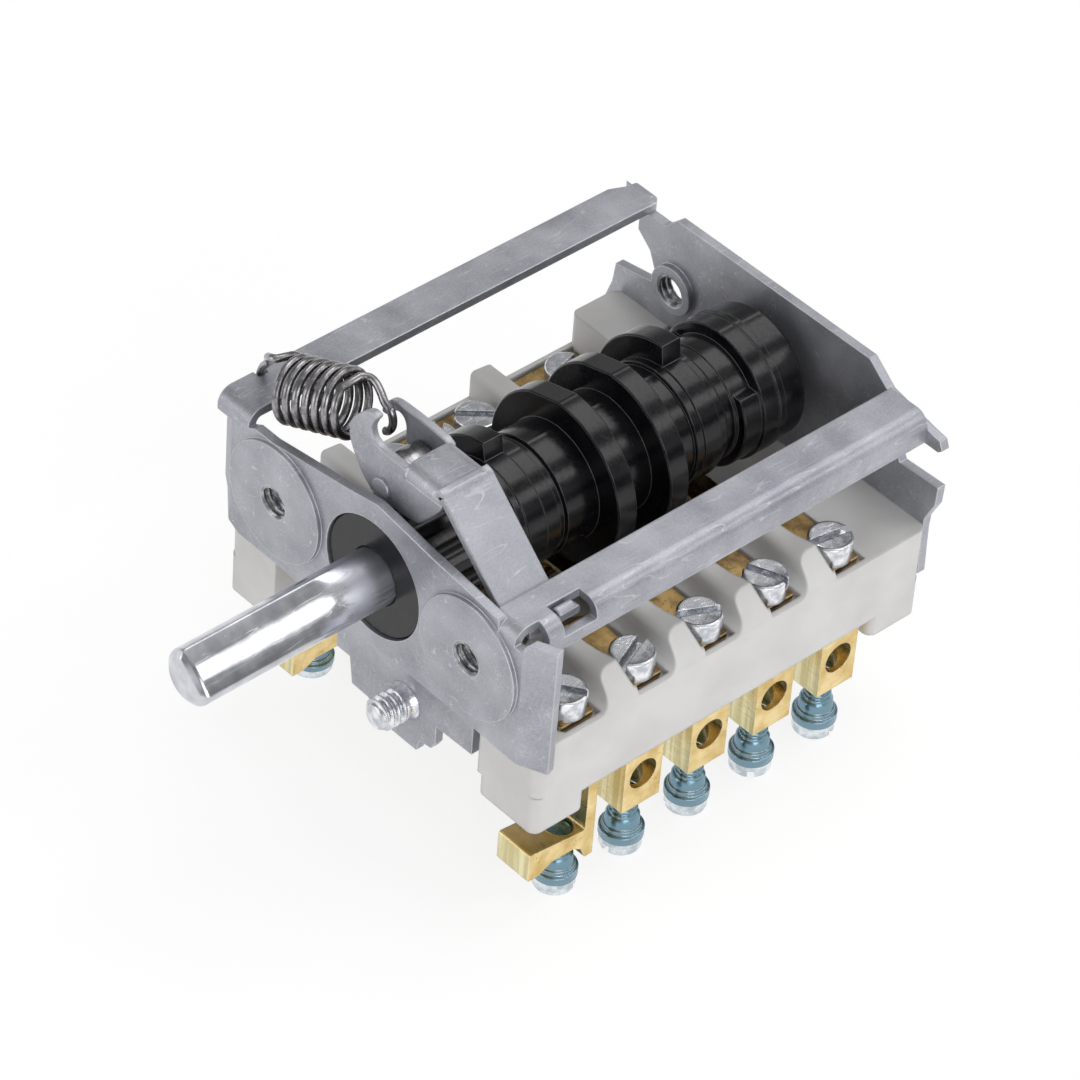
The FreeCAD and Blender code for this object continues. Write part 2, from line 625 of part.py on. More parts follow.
def make_rear_plate():
    """Rear plate with its two strap ears, drawn collars and drum bearing."""
    body = new_body("rear_plate")
    front = s.rear_plate_at
    back = front + s.sheet_wall
    wing = s.rear_wing
    top = s.rear_plate_top
    foot = -s.rear_plate_foot
    half = s.fixing_spacing / 2
    strap_left = TOP_LEFT - s.sheet_wall
    strap_right = TOP_RIGHT - s.sheet_wall
    pad(body, "XZ", front, back, [
        (wing - 1.1, foot), (wing - 1.3, foot * 0.56), (wing - 1.2, foot * 0.43),
        (wing - 0.1, foot * 0.24), (wing, foot * 0.06), (wing - 5.3, foot * 0.08),
        (wing - 6.5, top * 0.14, 0.8), (wing - 4.0, top * 0.4), (wing - 0.7, top * 0.4),
        (wing - 0.2, top * 0.45), (wing - 0.6, top * 0.56), (wing - 2.2, top * 0.59),
        (s.right_strap_in - 0.3, strap_right + 0.3), (s.right_strap_in - 3.2, top),
        (-s.left_strap_in + 4.1, top - 0.25), (-s.left_strap_in + 2.4, strap_left - 0.05, 0.8),
        (-s.left_strap_in - 1.3, strap_left - 0.05), (-s.left_strap_in - 1.3, top * 0.47),
        (-s.left_strap_in + 0.6, top * 0.29, 1.0), (-s.left_strap_in + 2.2, foot * 0.08, 0.8),
        (1.2 - wing, foot * 0.17), (0.9 - wing, foot * 0.36), (-wing, foot * 0.57),
        (1.1 - wing, foot)])
    for side in (-1, 1):
        pad(body, "XZ", front - s.collar_height / 2, front, Ring(side * half, 0, s.collar_radius))
        pocket(body, "XZ", front - s.collar_height, back + PAST, Ring(side * half, 0, s.fixing_radius))
    pocket(body, "XZ", front - PAST, back + PAST, Ring(0, 0, s.rear_journal + s.journal_gap))
    return body


def seat_outline(index):
    """Plan of one right contact seat; its front wall closes in on the screw head."""
    middle = pole_y(index)
    outer = RIGHT.bar_end + 0.3
    inner = s.trough_half - 0.7
    rear = middle + s.bar_width / 2 + 0.6
    return [
        (inner, middle - 4.0), (outer - 4.1, middle - 3.3, 1.0), (outer - 1.7, middle - 2.7, 1.0),
        (outer, middle - 1.9), (outer, rear), (inner, rear)]


def ridge_profile(index):
    """Side view of one ridge: it climbs from the seat in front and drops to the next."""
    rear = pole_y(index) + s.bar_width / 2
    crest = pole_y(index) + s.pole_pitch - 4.0
    lip = -s.base_lip
    top = -s.ridge_top
    return [(rear, lip - PAST), (rear, lip), (rear + 1.5, lip + 0.1, 1.4),
            (crest - 1.2, top - 0.3, 1.0), (crest, top), (crest + 2.4, top), (crest + 2.4, lip - PAST)]


def post_profile(front):
    """Side view of one left post: upright in front, sloping behind."""
    foot = -s.left_lip - PAST
    top = -s.post_top
    return [(front, foot), (front, top, 0.5), (front + s.post_width, top - 0.3, 0.8),
            (front + s.post_length, -s.left_lip), (front + s.post_length, foot)]


def left_seats():
    """Plans of the left contact seats and of the channels of the fixed strips."""
    outer = -LEFT.bar_end - 0.3
    inner = 0.7 - s.trough_half
    seats = [rectangle(outer, inner, *span) for span in (FIRST_SEAT, MIDDLE_SEAT, LAST_SEAT)]
    reach = s.leaf_width / 2 + 0.1
    channels = [rectangle(0.1 - s.post_in, inner, pole_y(index) - reach, pole_y(index) + reach)
                for index in POLES]
    return seats, channels


def make_ceramic_base():
    """Ceramic base: a trough for the drum, open seats on both sides, four feet."""
    body = new_body("ceramic_base")
    front = s.base_front
    rear = s.rear_plate_at
    left = -s.base_left
    right = s.base_right
    shelf = s.trough_half - s.shelf_width
    above = PAST * 2 - s.ridge_top
    below = -FOOT_UNDER - PAST
    pad(body, "XY", -BASE_UNDER, -s.left_lip, rectangle(left, right, front, rear, 1.2))
    pad(body, "XY", -s.left_lip, -s.base_lip,
        [(shelf, front), (right, front, 1.2), (right, rear, 1.2), (shelf, rear)])
    pad(body, "YZ", shelf, right, *[ridge_profile(index) for index in POLES[:-1]])
    pad(body, "YZ", left, -s.post_in, post_profile(s.post_first), post_profile(SECOND_POST))
    pad(body, "XY", -s.left_lip, -s.rear_block_top,
        [(left, BLOCK_FRONT, 0.8), (-s.post_in, BLOCK_FRONT), (-s.post_in, rear), (left, rear, 1.2)])
    feet = []
    for near, far in ((left, -s.foot_in), (s.foot_in, right)):
        feet.append(rectangle(near, far, front, front + s.foot_depth, 1.0))
        feet.append(rectangle(near, far, rear - s.foot_depth, rear, 1.0))
    pad(body, "XY", -FOOT_UNDER, PAST * 2 - BASE_UNDER, *feet)
    pocket(body, "XZ", front - PAST, rear + PAST, [
        (right - 2.4, -s.ridge_top), (right + PAST, PAST - s.ridge_top),
        (right + PAST, -s.base_lip), (right, -s.base_lip)])
    pocket(body, "XY", -RIGHT.seat, above, *[seat_outline(index) for index in POLES])
    seats, channels = left_seats()
    pocket(body, "XY", -LEFT.seat, above, *seats)
    pocket(body, "XY", -LEFT.seat - s.strip_wall, -s.post_top, *channels)
    pocket(body, "XY", -TROUGH_FLOOR, above,
           rectangle(-s.trough_half, s.trough_half, front + PAST, DRUM_END + 0.5, 1.5))
    pocket(body, "XY", below, above, rectangle(-s.foot_in, s.foot_in, front - PAST, front + 3.4))
    clear = s.pad_rise + (s.plate_right - s.plate_bend) * s.wing_slope + s.sheet_wall + 0.1
    pocket(body, "XY", -s.plate_foot - 0.9, above,
           rectangle(s.right_strap_in, right + PAST, front - PAST, clear))
    for row in (LEFT, RIGHT):
        holes = [Ring(row.sign * row.screw_x, place, s.contact_screw_shank + 0.2) for place in row.places]
        pocket(body, "XY", below, PAST - row.seat, *holes)
    return body


def make_contact_bar(row, index):
    """Brass bar under a contact screw."""
    body = new_body("contact_bar_%s_%d" % (row.name, index + 1))
    near, far = ordered(row.sign * (s.trough_half + 0.4), row.sign * row.bar_end)
    front = row.spans[index][0] - row.places[index]
    rear = row.spans[index][1] - row.places[index]
    pad(body, "XY", -row.bar_top - row.bar_wall, -row.bar_top, rectangle(near, far, front, rear, 0.3),
        Ring(row.sign * row.screw_x, 0, s.contact_screw_shank + s.thread_gap))
    bind(body, "Placement.Base.y", row.places[index])
    return body


def strip_profile(sign, outer, seat, reach, level, wall):
    """Front view of a strip: flat under its bar, then down to the drum's middle."""
    knee = s.trough_half - 0.1
    foot = knee - (seat - level) * 1.1
    return [
        (sign * outer, seat), (sign * outer, seat + wall), (sign * knee, seat + wall),
        (sign * foot, level + wall), (sign * reach, level + wall), (sign * reach, level),
        (sign * (foot - 0.15), level), (sign * (knee - 0.15), seat)]


def make_moving_contact(index):
    """Spring leaf that a cam presses, with a silver rivet under its free end."""
    body = new_body("moving_contact_%d" % (index + 1))
    half = s.leaf_width / 2
    level = -s.cam_radius - s.leaf_gap - s.leaf_wall
    strip = strip_profile(1, RIGHT.bar_end, -RIGHT.seat, -s.leaf_past, level, s.leaf_wall)
    pad(body, "XZ", -half, half, strip[::-1])
    pad(body, "XY", level - s.rivet_height, level, Ring(-s.rivet_x, 0, s.rivet_radius))
    pocket(body, "XY", -RIGHT.seat - PAST, PAST - RIGHT.seat,
           Ring(RIGHT.screw_x, 0, s.contact_screw_shank + s.thread_gap))
    bind(body, "Placement.Base.y", pole_y(index))
    return body


def make_fixed_contact(index):
    """Brass strip on the trough floor with a silver rivet under the moving one."""
    body = new_body("fixed_contact_%d" % (index + 1))
    half = s.leaf_width / 2
    level = 0.02 - TROUGH_FLOOR
    seat = -LEFT.seat - s.strip_wall
    pad(body, "XZ", -half, half,
        strip_profile(-1, s.post_in - 0.3, seat, s.rivet_x - s.leaf_width / 2, level, s.strip_wall))
    pad(body, "XY", level, level + s.strip_wall + s.rivet_height, Ring(-s.rivet_x, 0, s.rivet_radius))
    bind(body, "Placement.Base.y", pole_y(index))
    return body


def make_terminal_block(row, index):
    """Brass block with a wire entry from the side and a tapped hole from below."""
    body = new_body("terminal_%s_%d" % (row.name, index + 1))
    near, far = ordered(row.sign * row.block[1], row.sign * row.block[0])
    half = s.block_width / 2
    top = -BASE_UNDER
    pad(body, "XY", -BLOCK_UNDER, top, rectangle(near, far, -half, half))
    pocket(body, "YZ", near - PAST, far + PAST, Ring(0, -WIRE_Z, s.wire_radius))
    pocket(body, "XY", -BLOCK_UNDER - PAST, -WIRE_Z,
           Ring(row.sign * row.clamp_x, 0, s.clamp_shank + s.thread_gap))
    pocket(body, "XY", top - 0.8, top + PAST,
           Ring(row.sign * row.screw_x, 0, s.contact_screw_shank + s.thread_gap))
    bind(body, "Placement.Base.y", row.places[index])
    return body


def make_corner_terminal(row):
    """Bent brass terminal of the first pole: a saddle bar on a leg."""
    body = new_body("terminal_%s_1" % row.name)
    near, far = ordered(row.sign * row.corner[1], row.sign * row.corner[0])
    front = s.base_front
    leg = front + s.foot_depth + 0.6
    low = -row.corner_low
    pad(body, "YZ", near, far, [
        (front, low - 2.0), (front, low + 1.4, 0.3), (leg, low + 0.5, 0.3), (leg, -BASE_UNDER),
        (leg + 1.2, -BASE_UNDER), (leg + 1.2, low - 3.2), (leg + 0.2, low - 3.2), (leg - 0.4, low - 1.8),
        (leg - 1.4, low - 1.2), (front + 3.0, low - 1.2), (front + 1.4, low - 2.0)])
    pocket(body, "XY", low - 4.0, low + 3.0,
           Ring(row.sign * row.clamp_x, s.first_pole, s.clamp_shank + s.thread_gap))
    return body


def screw_turns(count, start, step):
    """Turn of each driver slot in a group, in degrees."""
    return [start + step * index for index in range(count)]


def make_contact_screws(row):
    """Cheese-head screws that hold the contact bars of one row."""
    screws = []
    under = -row.bar_top
    top = under + s.contact_head_height
    end = -BASE_UNDER - 0.7
    for index, turn in zip(POLES, screw_turns(len(POLES), 20.0, 37.0)):
        place = (row.sign * row.screw_x, row.places[index])
        name = "contact_screw_%s_%d" % (row.name, index + 1)
        head = part_cylinder(name + "_head", s.contact_head, under, top, "z", place)
        shank = part_cylinder(name + "_shank", s.contact_screw_shank, end, under + 0.5, "z", place)
        solid = join(name + "_solid", [head, shank])
        screws.append(slotted(name, solid, place, top - s.screw_slot_depth, top + PAST,
                              s.contact_head, turn))
    return compound("contact_screws_" + row.name, screws)


def slotted(name, solid, place, low, high, radius, turn):
    """Cuts a driver slot across a head."""
    slot = doc.addObject("Part::Box", name + "_slot")
    bind(slot, "Length", radius * 2 + 2.0)
    bind(slot, "Width", s.screw_slot)
    bind(slot, "Height", high - low)
    slot.Placement = Placement(Vector(), Rotation(Vector(0, 0, 1), turn))
    across = radius + 1.0
    bind(slot, "Placement.Base.x", place[0] - across * math.cos(math.radians(turn))
         + s.screw_slot * math.sin(math.radians(turn)) / 2)
    bind(slot, "Placement.Base.y", place[1] - across * math.sin(math.radians(turn))
         - s.screw_slot * math.cos(math.radians(turn)) / 2)
    bind(slot, "Placement.Base.z", low)
    return cut(name, solid, slot)


def compound(label, parts):
    """Like fasteners kept together as separate solids."""
    group = doc.addObject("Part::Compound", label)
    group.Label = label
    group.Links = parts
    return group


def make_clamp_screws(row):
    """Clamp screws below the terminals of one row, heads down."""
    screws = []
    bottom = -row.clamp_bottom
    ring = bottom + s.clamp_head_height
    tip = -WIRE_Z - s.wire_radius - 0.15
    for index, turn in zip(POLES, screw_turns(len(POLES), 65.0, 29.0)):
        place = (row.sign * row.clamp_x, row.places[index])
        name = "clamp_screw_%s_%d" % (row.name, index + 1)
        head = part_cylinder(name + "_head", s.clamp_head, bottom, ring, "z", place)
        cone = doc.addObject("Part::Cone", name + "_cone")
        bind(cone, "Radius1", s.clamp_head - 0.1)
        bind(cone, "Radius2", s.clamp_shank)
        bind(cone, "Height", s.clamp_cone)
        bind(cone, "Placement.Base.x", place[0])
        bind(cone, "Placement.Base.y", place[1])
        bind(cone, "Placement.Base.z", ring)
        shank = part_cylinder(name + "_shank", s.clamp_shank, ring, tip, "z", place)
        solid = join(name + "_solid", [head, cone, shank])
        screws.append(slotted(name, solid, place, bottom - PAST, bottom + s.screw_slot_depth,
                              s.clamp_head, turn))
    return compound("clamp_screws_" + row.name, screws)


def make_earth_stud():
    """Threaded earth stud pressed through the tongue."""
    body = new_body("earth_stud")
    face = s.tongue_setback
    back = face + s.sheet_wall
    neck = s.earth_radius - 0.25 - s.thread_gap
    turned(body, "XY", [
        (0, face - s.earth_reach), (s.earth_radius - 0.4, face - s.earth_reach),
        (s.earth_radius, face - s.earth_reach + 0.4), (s.earth_radius, face - 0.6),
        (s.earth_radius + 0.8, face - 0.5), (s.earth_radius + 0.8, face), (neck, face),
        (neck, back), (neck + 0.8, back), (neck + 0.8, back + 0.4), (0, back + 0.4)])
    bind(body, "Placement.Base.x", s.earth_x)
    bind(body, "Placement.Base.z", -s.earth_z)
    return body


def make_shaft():
    """Steel knob shaft with one flat and a chamfered tip."""
    body = new_body("selector_shaft")
    tip = -s.shaft_tip
    radius = s.shaft_radius
    turned(body, "XY", [
        (0, tip), (radius - s.shaft_chamfer, tip), (radius, tip + s.shaft_chamfer),
        (radius, s.shaft_inner), (0, s.shaft_inner)])
    pocket(body, "XZ", tip - PAST, -s.shaft_round,
           rectangle(-radius - PAST, radius + PAST, s.shaft_flat, radius + PAST))
    body.Placement = Placement(Vector(), Rotation(Vector(0, 1, 0), float(s.flat_turn)))
    return body


def make_cam_drum():
    """Moulded cam drum: journals, detent wheel, barrel, cams and rear drum."""
    body = new_body("cam_drum")
    shape_drum_core(body)
    shape_cams(body)
    shape_rear_drum(body)
    notches = []
    count = int(sheet.detent_count)
    tooth = s.roller_radius * 0.6
    reach = s.detent_radius - s.detent_depth + tooth
    for index in range(count):
        angle = math.radians((index + 0.5) * 360.0 / count - 8.0)
        notches.append(Ring(reach * math.cos(angle), reach * math.sin(angle), tooth))
    pocket(body, "XZ", s.detent_front - 0.4, s.detent_rear + 0.2, *notches)
    return body


def shape_drum_core(body):
    """Turned core of the drum, bored for the shaft."""
    journal = s.bearing_radius - s.journal_gap
    neck = s.barrel_radius - 0.8
    waist = s.barrel_radius - s.barrel_groove
    bore = s.shaft_radius + s.thread_gap
    deep = s.shaft_inner + s.thread_gap
    groove = s.cam_second - s.groove_place
    last = REAR_DRUM_FRONT
    tip = s.rear_plate_at + s.sheet_wall + 0.6
    turned(body, "XY", [
        (bore, s.drum_front), (journal, s.drum_front), (journal, s.detent_front - 0.5),
        (neck, s.detent_front - 0.5), (neck, s.detent_front),
        (s.detent_radius, s.detent_front), (s.detent_radius, s.detent_rear), (waist, s.detent_rear),
        (waist, s.cam_first - 0.7), (s.barrel_radius, s.cam_first - 0.7), (s.barrel_radius, groove),
        (waist, groove + 0.2), (waist, groove + 0.8), (s.barrel_radius, groove + 1.0),
        (s.barrel_radius, last - 1.8), (waist, last - 1.4), (waist, COLLAR_FRONT),
        (s.rear_drum_radius, COLLAR_FRONT), (s.rear_drum_radius, DRUM_END - 0.4),
        (s.rear_drum_radius - 0.4, DRUM_END), (s.rear_journal, DRUM_END),
        (s.rear_journal, tip), (0, tip), (0, deep), (bore, deep)])


def on_rim(radius, turn):
    """A point of a rim; the turn goes clockwise from straight up, in degrees."""
    angle = math.radians(turn)
    return (radius * math.sin(angle), radius * math.cos(angle))


def shape_cams(body):
    """Four cams on the barrel: two with a flat at the top, the last only a half."""
    core = Ring(0, 0, s.barrel_radius - 0.6)
    low = s.barrel_radius + s.cam_dwell
    last = s.cam_second + s.cam_pitch * 2
    pad(body, "XZ", s.cam_first, s.cam_first + s.cam_width,
        Ring(0, 0, s.cam_radius - s.first_cam_drop), core)
    for start in (s.cam_second, s.cam_second + s.cam_pitch, last):
        pad(body, "XZ", start, start + s.cam_width, Ring(0, 0, s.cam_radius), core)
    start = on_rim(s.cam_radius, -float(s.cam_flat_start))
    end = on_rim(s.cam_radius, -float(s.cam_flat_end))
    pocket(body, "XZ", s.cam_second - PAST, last - PAST, [
        start, end, (end[0] + 0.1, end[1] + PAST), (start[0] - 0.5, start[1] + PAST)])
    out = s.cam_radius + PAST
    turn = low - 0.05
    pocket(body, "XZ", last - PAST / 2, last + s.cam_width + PAST / 2, [
        (0.2, out), (0.2, low), (low, low, turn), (low, -low, turn), (0.2, -low), (0.2, -out),
        (out, -out), (out, out)])
    pad(body, "XZ", last - 1.0, last + s.cam_width, Ring(0, 0, low), core)


def shape_rear_drum(body):
    """Front step of the rear drum, scooped at the top, and its raised collar."""
    inner = s.barrel_radius - s.barrel_groove
    wide = s.rear_drum_radius + PAST
    pad(body, "XZ", REAR_DRUM_FRONT, COLLAR_FRONT + 0.2,
        Ring(0, 0, s.rear_drum_radius), Ring(0, 0, inner - 0.5))
    pocket(body, "XZ", REAR_DRUM_FRONT - PAST / 2, COLLAR_FRONT,
           [(-wide, s.scoop_level), (wide, s.scoop_level), (wide, wide), (-wide, wide)])
    pad(body, "XZ", REAR_DRUM_FRONT - PAST, COLLAR_FRONT + 0.2, Ring(0, 0, inner))
    pad(body, "XZ", COLLAR_FRONT, COLLAR_REAR,
        Ring(0, 0, s.rear_drum_radius + s.collar_rise), Ring(0, 0, inner))


def make_lever():
    """Folded detent lever: top sheet, two cheeks, an ear and a hooked heel."""
    body = new_body("detent_lever")
    wall = s.lever_wall
    front = s.lever_front
    rear = s.lever_rear
    heel = TOP_RIGHT - s.sheet_wall - 0.1
    heel_x = s.right_strap_in - 0.6
    break_x = s.lever_break_x
    break_z = BREAK_Z
    bridge = -s.lever_bridge
    end_x = -s.lever_cheek_end
    pad(body, "XZ", front, rear, [
        (s.window_in + 0.9, heel - wall), (s.window_in + 0.9, heel), (heel_x, heel, 1.0),
        (break_x, break_z, 1.0), (bridge, break_z - 0.4), (bridge, break_z - 0.4 - wall),
        (break_x - 0.4, break_z - wall, 1.0), (heel_x - 0.5, heel - wall, 1.0)])
    under = ROLLER_Z - 1.9
    window = -s.lever_window_left
    lower = [(end_x + 0.4, break_z - 2.4), (bridge - 1.1, ROLLER_Z + 0.1), (-s.roller_x - 1.8, under, 1.0),
             (s.roller_x - 1.0, under, 1.0), (break_x - 4.0, under + 0.8),
             (break_x - 1.0, break_z - 2.5), (break_x, break_z - 0.3)]
    pad(body, "XZ", front, front + wall, lower + [
        (window, break_z - 0.5), (window, break_z + 1.8, 0.6), (window - 1.3, break_z + s.ear_rise, 0.4),
        (window - 3.2, break_z + 1.3, 0.5), (end_x + 0.7, break_z - 1.8)])
    pad(body, "XZ", rear - wall, rear, lower + [
        (bridge + 0.6, break_z - 0.5), (bridge - 0.4, break_z - 0.2, 0.5),
        (end_x + 0.5, break_z - 1.0, 0.5), (end_x, break_z - 1.8)])
    pocket(body, "XY", break_z - 3.0, break_z + PAST,
           rectangle(-s.lever_window_left, s.lever_window_right, front + wall + 0.5, rear - wall - 0.5))
    pad(body, "XZ", s.window_front + 0.4, s.window_rear - 1.6, [
        (s.window_in + 0.25, heel - 0.4), (s.window_in + 0.25, TOP_RIGHT + 0.1, 0.4),
        (s.window_in + 1.4, TOP_RIGHT - 0.2, 0.3), (s.window_in + 1.4, heel - wall),
        (s.window_in + 0.6, heel - wall)])
    pocket(body, "XZ", front - 1.0, rear + 1.0, Ring(-s.roller_x, ROLLER_Z, s.pin_radius + 0.02))
    return body


def make_roller():
    """Steel roller on the lever's pin."""
    front = s.lever_front + s.lever_wall + s.roller_gap
    rear = s.lever_rear - s.lever_wall - s.roller_gap
    place = (-s.roller_x, ROLLER_Z)
    rim = part_cylinder("roller_rim", s.roller_radius, front, rear, "y", place)
    bore = part_cylinder("roller_bore", s.pin_radius + s.pin_gap, front - 1.0, rear + 1.0, "y", place)
    return cut("detent_roller", rim, bore)


def make_roller_pin():
    """Pin of the roller, headed on both cheeks."""
    body = new_body("roller_pin")
    front = s.lever_front
    rear = s.lever_rear
    turned(body, "XY", [
        (0, front - 0.35), (s.pin_radius + 0.25, front - 0.35), (s.pin_radius + 0.25, front),
        (s.pin_radius, front), (s.pin_radius, rear), (s.pin_radius + 0.25, rear),
        (s.pin_radius + 0.25, rear + 0.35), (0, rear + 0.35)])
    bind(body, "Placement.Base.x", -s.roller_x)
    bind(body, "Placement.Base.z", ROLLER_Z)
    return body


def make_spring():
    """Detent spring: close turns on a slanting axis, a hook at each end."""
    feature = doc.addObject("Part::Feature", "detent_spring")
    feature.Label = "detent_spring"
    wire = float(s.spring_wire)
    hook = float(s.hook_y)
    strap = float(s.left_strap_top)
    mean = (float(s.spring_coil) - wire) / 2
    start = Vector(-float(s.spring_start_x), hook - 1.5, strap + float(s.spring_start_rise))
    end = Vector(-float(s.spring_end_x), hook - 0.5, float(BREAK_Z - s.spring_end_rise))
    axis = end - start
    length = axis.Length
    axis.normalize()
    across = axis.cross(Vector(0, 0, 1)).normalize()
    up = across.cross(axis)
    turns = float(s.spring_turns)
    edge = -float(s.left_strap_out) + 0.4
    points = [Vector(edge + 0.9, hook, strap - 1.9), Vector(edge + 0.1, hook, strap - 1.5),
              Vector(edge - 0.1, hook, strap - 0.5), Vector(edge + 0.3, hook, strap + 0.8),
              Vector(edge + 2.0, hook - 0.4, strap + 2.6)]
    steps = int(turns * 10)
    for step in range(steps + 1):
        angle = 2 * math.pi * step / 10 + math.pi
        along = length * step / steps
        round_about = across * (mean * math.cos(angle)) + up * (mean * math.sin(angle))
        points.append(start + axis * along + round_about)
    bridge = -float(s.lever_bridge)
    level = float(BREAK_Z) - 0.4
    points += [Vector(bridge - 4.3, hook, level + 1.2), Vector(bridge - 2.6, hook, level + 0.9),
               Vector(bridge - 1.2, hook, level + 0.5), Vector(bridge - 0.55, hook, level - 0.6),
               Vector(bridge - 0.7, hook, level - 1.6), Vector(bridge - 1.4, hook, level - 1.9)]
    curve = Part.BSplineCurve()
    curve.interpolate(points)
    path = Part.Wire([curve.toShape()])
    tangent = curve.tangent(curve.FirstParameter)[0]
    profile = Part.Wire([Part.makeCircle(wire / 2, points[0], tangent)])
    feature.Shape = path.makePipeShell([profile], True, True)
    return feature


def export_part(part):
    """Checks one sub-part and writes its file."""
    shape = part.Shape
    if shape.isNull() or not shape.isValid():
        raise ValueError("bad shape: " + part.Label)
    shape.exportStep("parts/%s.step" % part.Label)
    print("%-26s %9.2f mm3  solids %d" % (part.Label, shape.Volume, len(shape.Solids)))


parts = [make_front_frame(), make_rear_plate(), make_ceramic_base(), make_earth_stud(),
         make_shaft(), make_cam_drum(), make_lever(), make_roller(), make_roller_pin(), make_spring()]
for side in (LEFT, RIGHT):
    parts.append(make_corner_terminal(side))
    parts.append(make_contact_screws(side))
    parts.append(make_clamp_screws(side))
    for pole in POLES:
        parts.append(make_contact_bar(side, pole))
        if pole > 0:
            parts.append(make_terminal_block(side, pole))
for pole in POLES:
    parts.append(make_moving_contact(pole))
    parts.append(make_fixed_contact(pole))

doc.recompute()

for thing in doc.Objects:
    if "Invalid" in thing.State or "Error" in thing.State:
        raise ValueError("%s failed: %s" % (thing.Label, thing.State))
    if thing.TypeId == "PartDesign::Pocket":
        before = thing.BaseFeature.Shape.Volume
        if thing.Shape.Volume > before - 1e-6:
            raise ValueError("%s cuts nothing" % thing.Label)

for part in parts:
    export_part(part)
print("%d sub-parts" % len(parts))
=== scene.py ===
import math

import bmesh
import bpy
import numpy as np
from mathutils import Matrix, Vector


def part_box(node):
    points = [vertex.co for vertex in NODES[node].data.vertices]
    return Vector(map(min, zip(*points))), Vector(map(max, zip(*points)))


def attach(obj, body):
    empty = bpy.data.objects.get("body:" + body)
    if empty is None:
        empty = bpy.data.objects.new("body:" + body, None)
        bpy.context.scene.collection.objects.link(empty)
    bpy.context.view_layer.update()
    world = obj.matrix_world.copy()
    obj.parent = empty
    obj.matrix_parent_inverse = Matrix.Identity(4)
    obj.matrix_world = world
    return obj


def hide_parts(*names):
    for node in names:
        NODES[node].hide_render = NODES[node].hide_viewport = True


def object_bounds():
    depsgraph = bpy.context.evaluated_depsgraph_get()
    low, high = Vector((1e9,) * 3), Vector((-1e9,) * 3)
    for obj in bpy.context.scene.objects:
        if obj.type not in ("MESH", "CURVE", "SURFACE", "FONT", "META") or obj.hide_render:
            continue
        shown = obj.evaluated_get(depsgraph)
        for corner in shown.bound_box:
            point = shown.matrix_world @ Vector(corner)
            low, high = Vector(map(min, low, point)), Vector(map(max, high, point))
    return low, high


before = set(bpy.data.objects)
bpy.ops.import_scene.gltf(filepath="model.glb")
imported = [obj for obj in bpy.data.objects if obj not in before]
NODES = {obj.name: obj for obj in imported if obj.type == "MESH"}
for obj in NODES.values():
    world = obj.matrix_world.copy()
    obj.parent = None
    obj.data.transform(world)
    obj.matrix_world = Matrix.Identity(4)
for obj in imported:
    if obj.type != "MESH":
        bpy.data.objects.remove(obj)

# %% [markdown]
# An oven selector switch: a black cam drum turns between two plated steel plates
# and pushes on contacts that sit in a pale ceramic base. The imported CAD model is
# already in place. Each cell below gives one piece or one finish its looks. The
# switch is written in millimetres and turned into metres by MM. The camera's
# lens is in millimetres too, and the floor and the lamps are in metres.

MM = 0.001
CAD_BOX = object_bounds()
print("CAD box in mm:", [[round(c / MM, 2) for c in corner] for corner in CAD_BOX])


def box_mm(node):
    """The lowest and the highest corner of a CAD node, in millimetres."""
    return [np.array(corner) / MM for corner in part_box(node)]


# %% [markdown]
# The photograph looks down on the switch from the front right with a long lens.
# A camera is easiest to read as a turn round the object, a height above the
# horizon, a small roll and a distance, so it is built from those.

# %% Camera
CAMERA_AT = Vector((288.814, -268.482, 356.115)) * MM
AZIMUTH = math.radians(44.778)
ELEVATION = math.radians(41.561)
ROLL = math.radians(4.742)
LENS = 186.87
SENSOR = 36
CLIP_END = 20
back = Vector((
    math.sin(AZIMUTH) * math.cos(ELEVATION),
    -math.cos(AZIMUTH) * math.cos(ELEVATION),
    math.sin(ELEVATION),
))
level = Vector((math.cos(AZIMUTH), math.sin(AZIMUTH), 0))
upright = back.cross(level)
right = level * math.cos(ROLL) + upright * math.sin(ROLL)
up = back.cross(right)
turn = Matrix((right, up, back)).transposed().to_4x4()
camera_data = bpy.data.cameras.new("camera")
camera_data.lens = LENS
camera_data.sensor_width = SENSOR
camera_data.clip_end = CLIP_END
camera = bpy.data.objects.new("camera", camera_data)
camera.matrix_world = Matrix.Translation(CAMERA_AT) @ turn
bpy.context.scene.collection.objects.link(camera)
bpy.context.scene.camera = camera
print("camera looks along", [round(c, 3) for c in -back])

# %% [markdown]
# A shader is a small graph. The first helper adds one node, sets its choices and
# either links a socket or writes a plain value. The others are the few sums that
# come back in every finish, so that a finish reads as a short list of steps.

# %% Node helpers
def bare_tree(holder):
    """The emptied node tree of a material or a world."""
    holder.use_nodes = True
    holder.node_tree.nodes.clear()
    return holder.node_tree


def put(tree, socket, value):
    """A link into a socket if the value is a socket, or else its plain value."""
    if isinstance(value, bpy.types.NodeSocket):
        tree.links.new(value, socket)
    else:
        socket.default_value = value


def add(tree, kind, inputs=None, **choices):
    """One node in a tree. inputs maps a socket's name or number to a value or a socket."""
    made = tree.nodes.new(kind)
    for name, value in choices.items():
        setattr(made, name, value)
    for name, value in (inputs or {}).items():
        put(tree, made.inputs[name], value)
    return made


def math_step(tree, operation, first, second=0.0, clamp=False):
    """The result of one sum on two numbers or sockets."""
    step = add(tree, "ShaderNodeMath", {0: first, 1: second}, operation=operation)
    step.use_clamp = clamp
    return step.outputs[0]


def product(tree, first, second, clamp=False):
    """Two values multiplied."""
    return math_step(tree, "MULTIPLY", first, second, clamp)


def difference(tree, first, second, clamp=False):
    """The second value taken from the first."""
    return math_step(tree, "SUBTRACT", first, second, clamp)


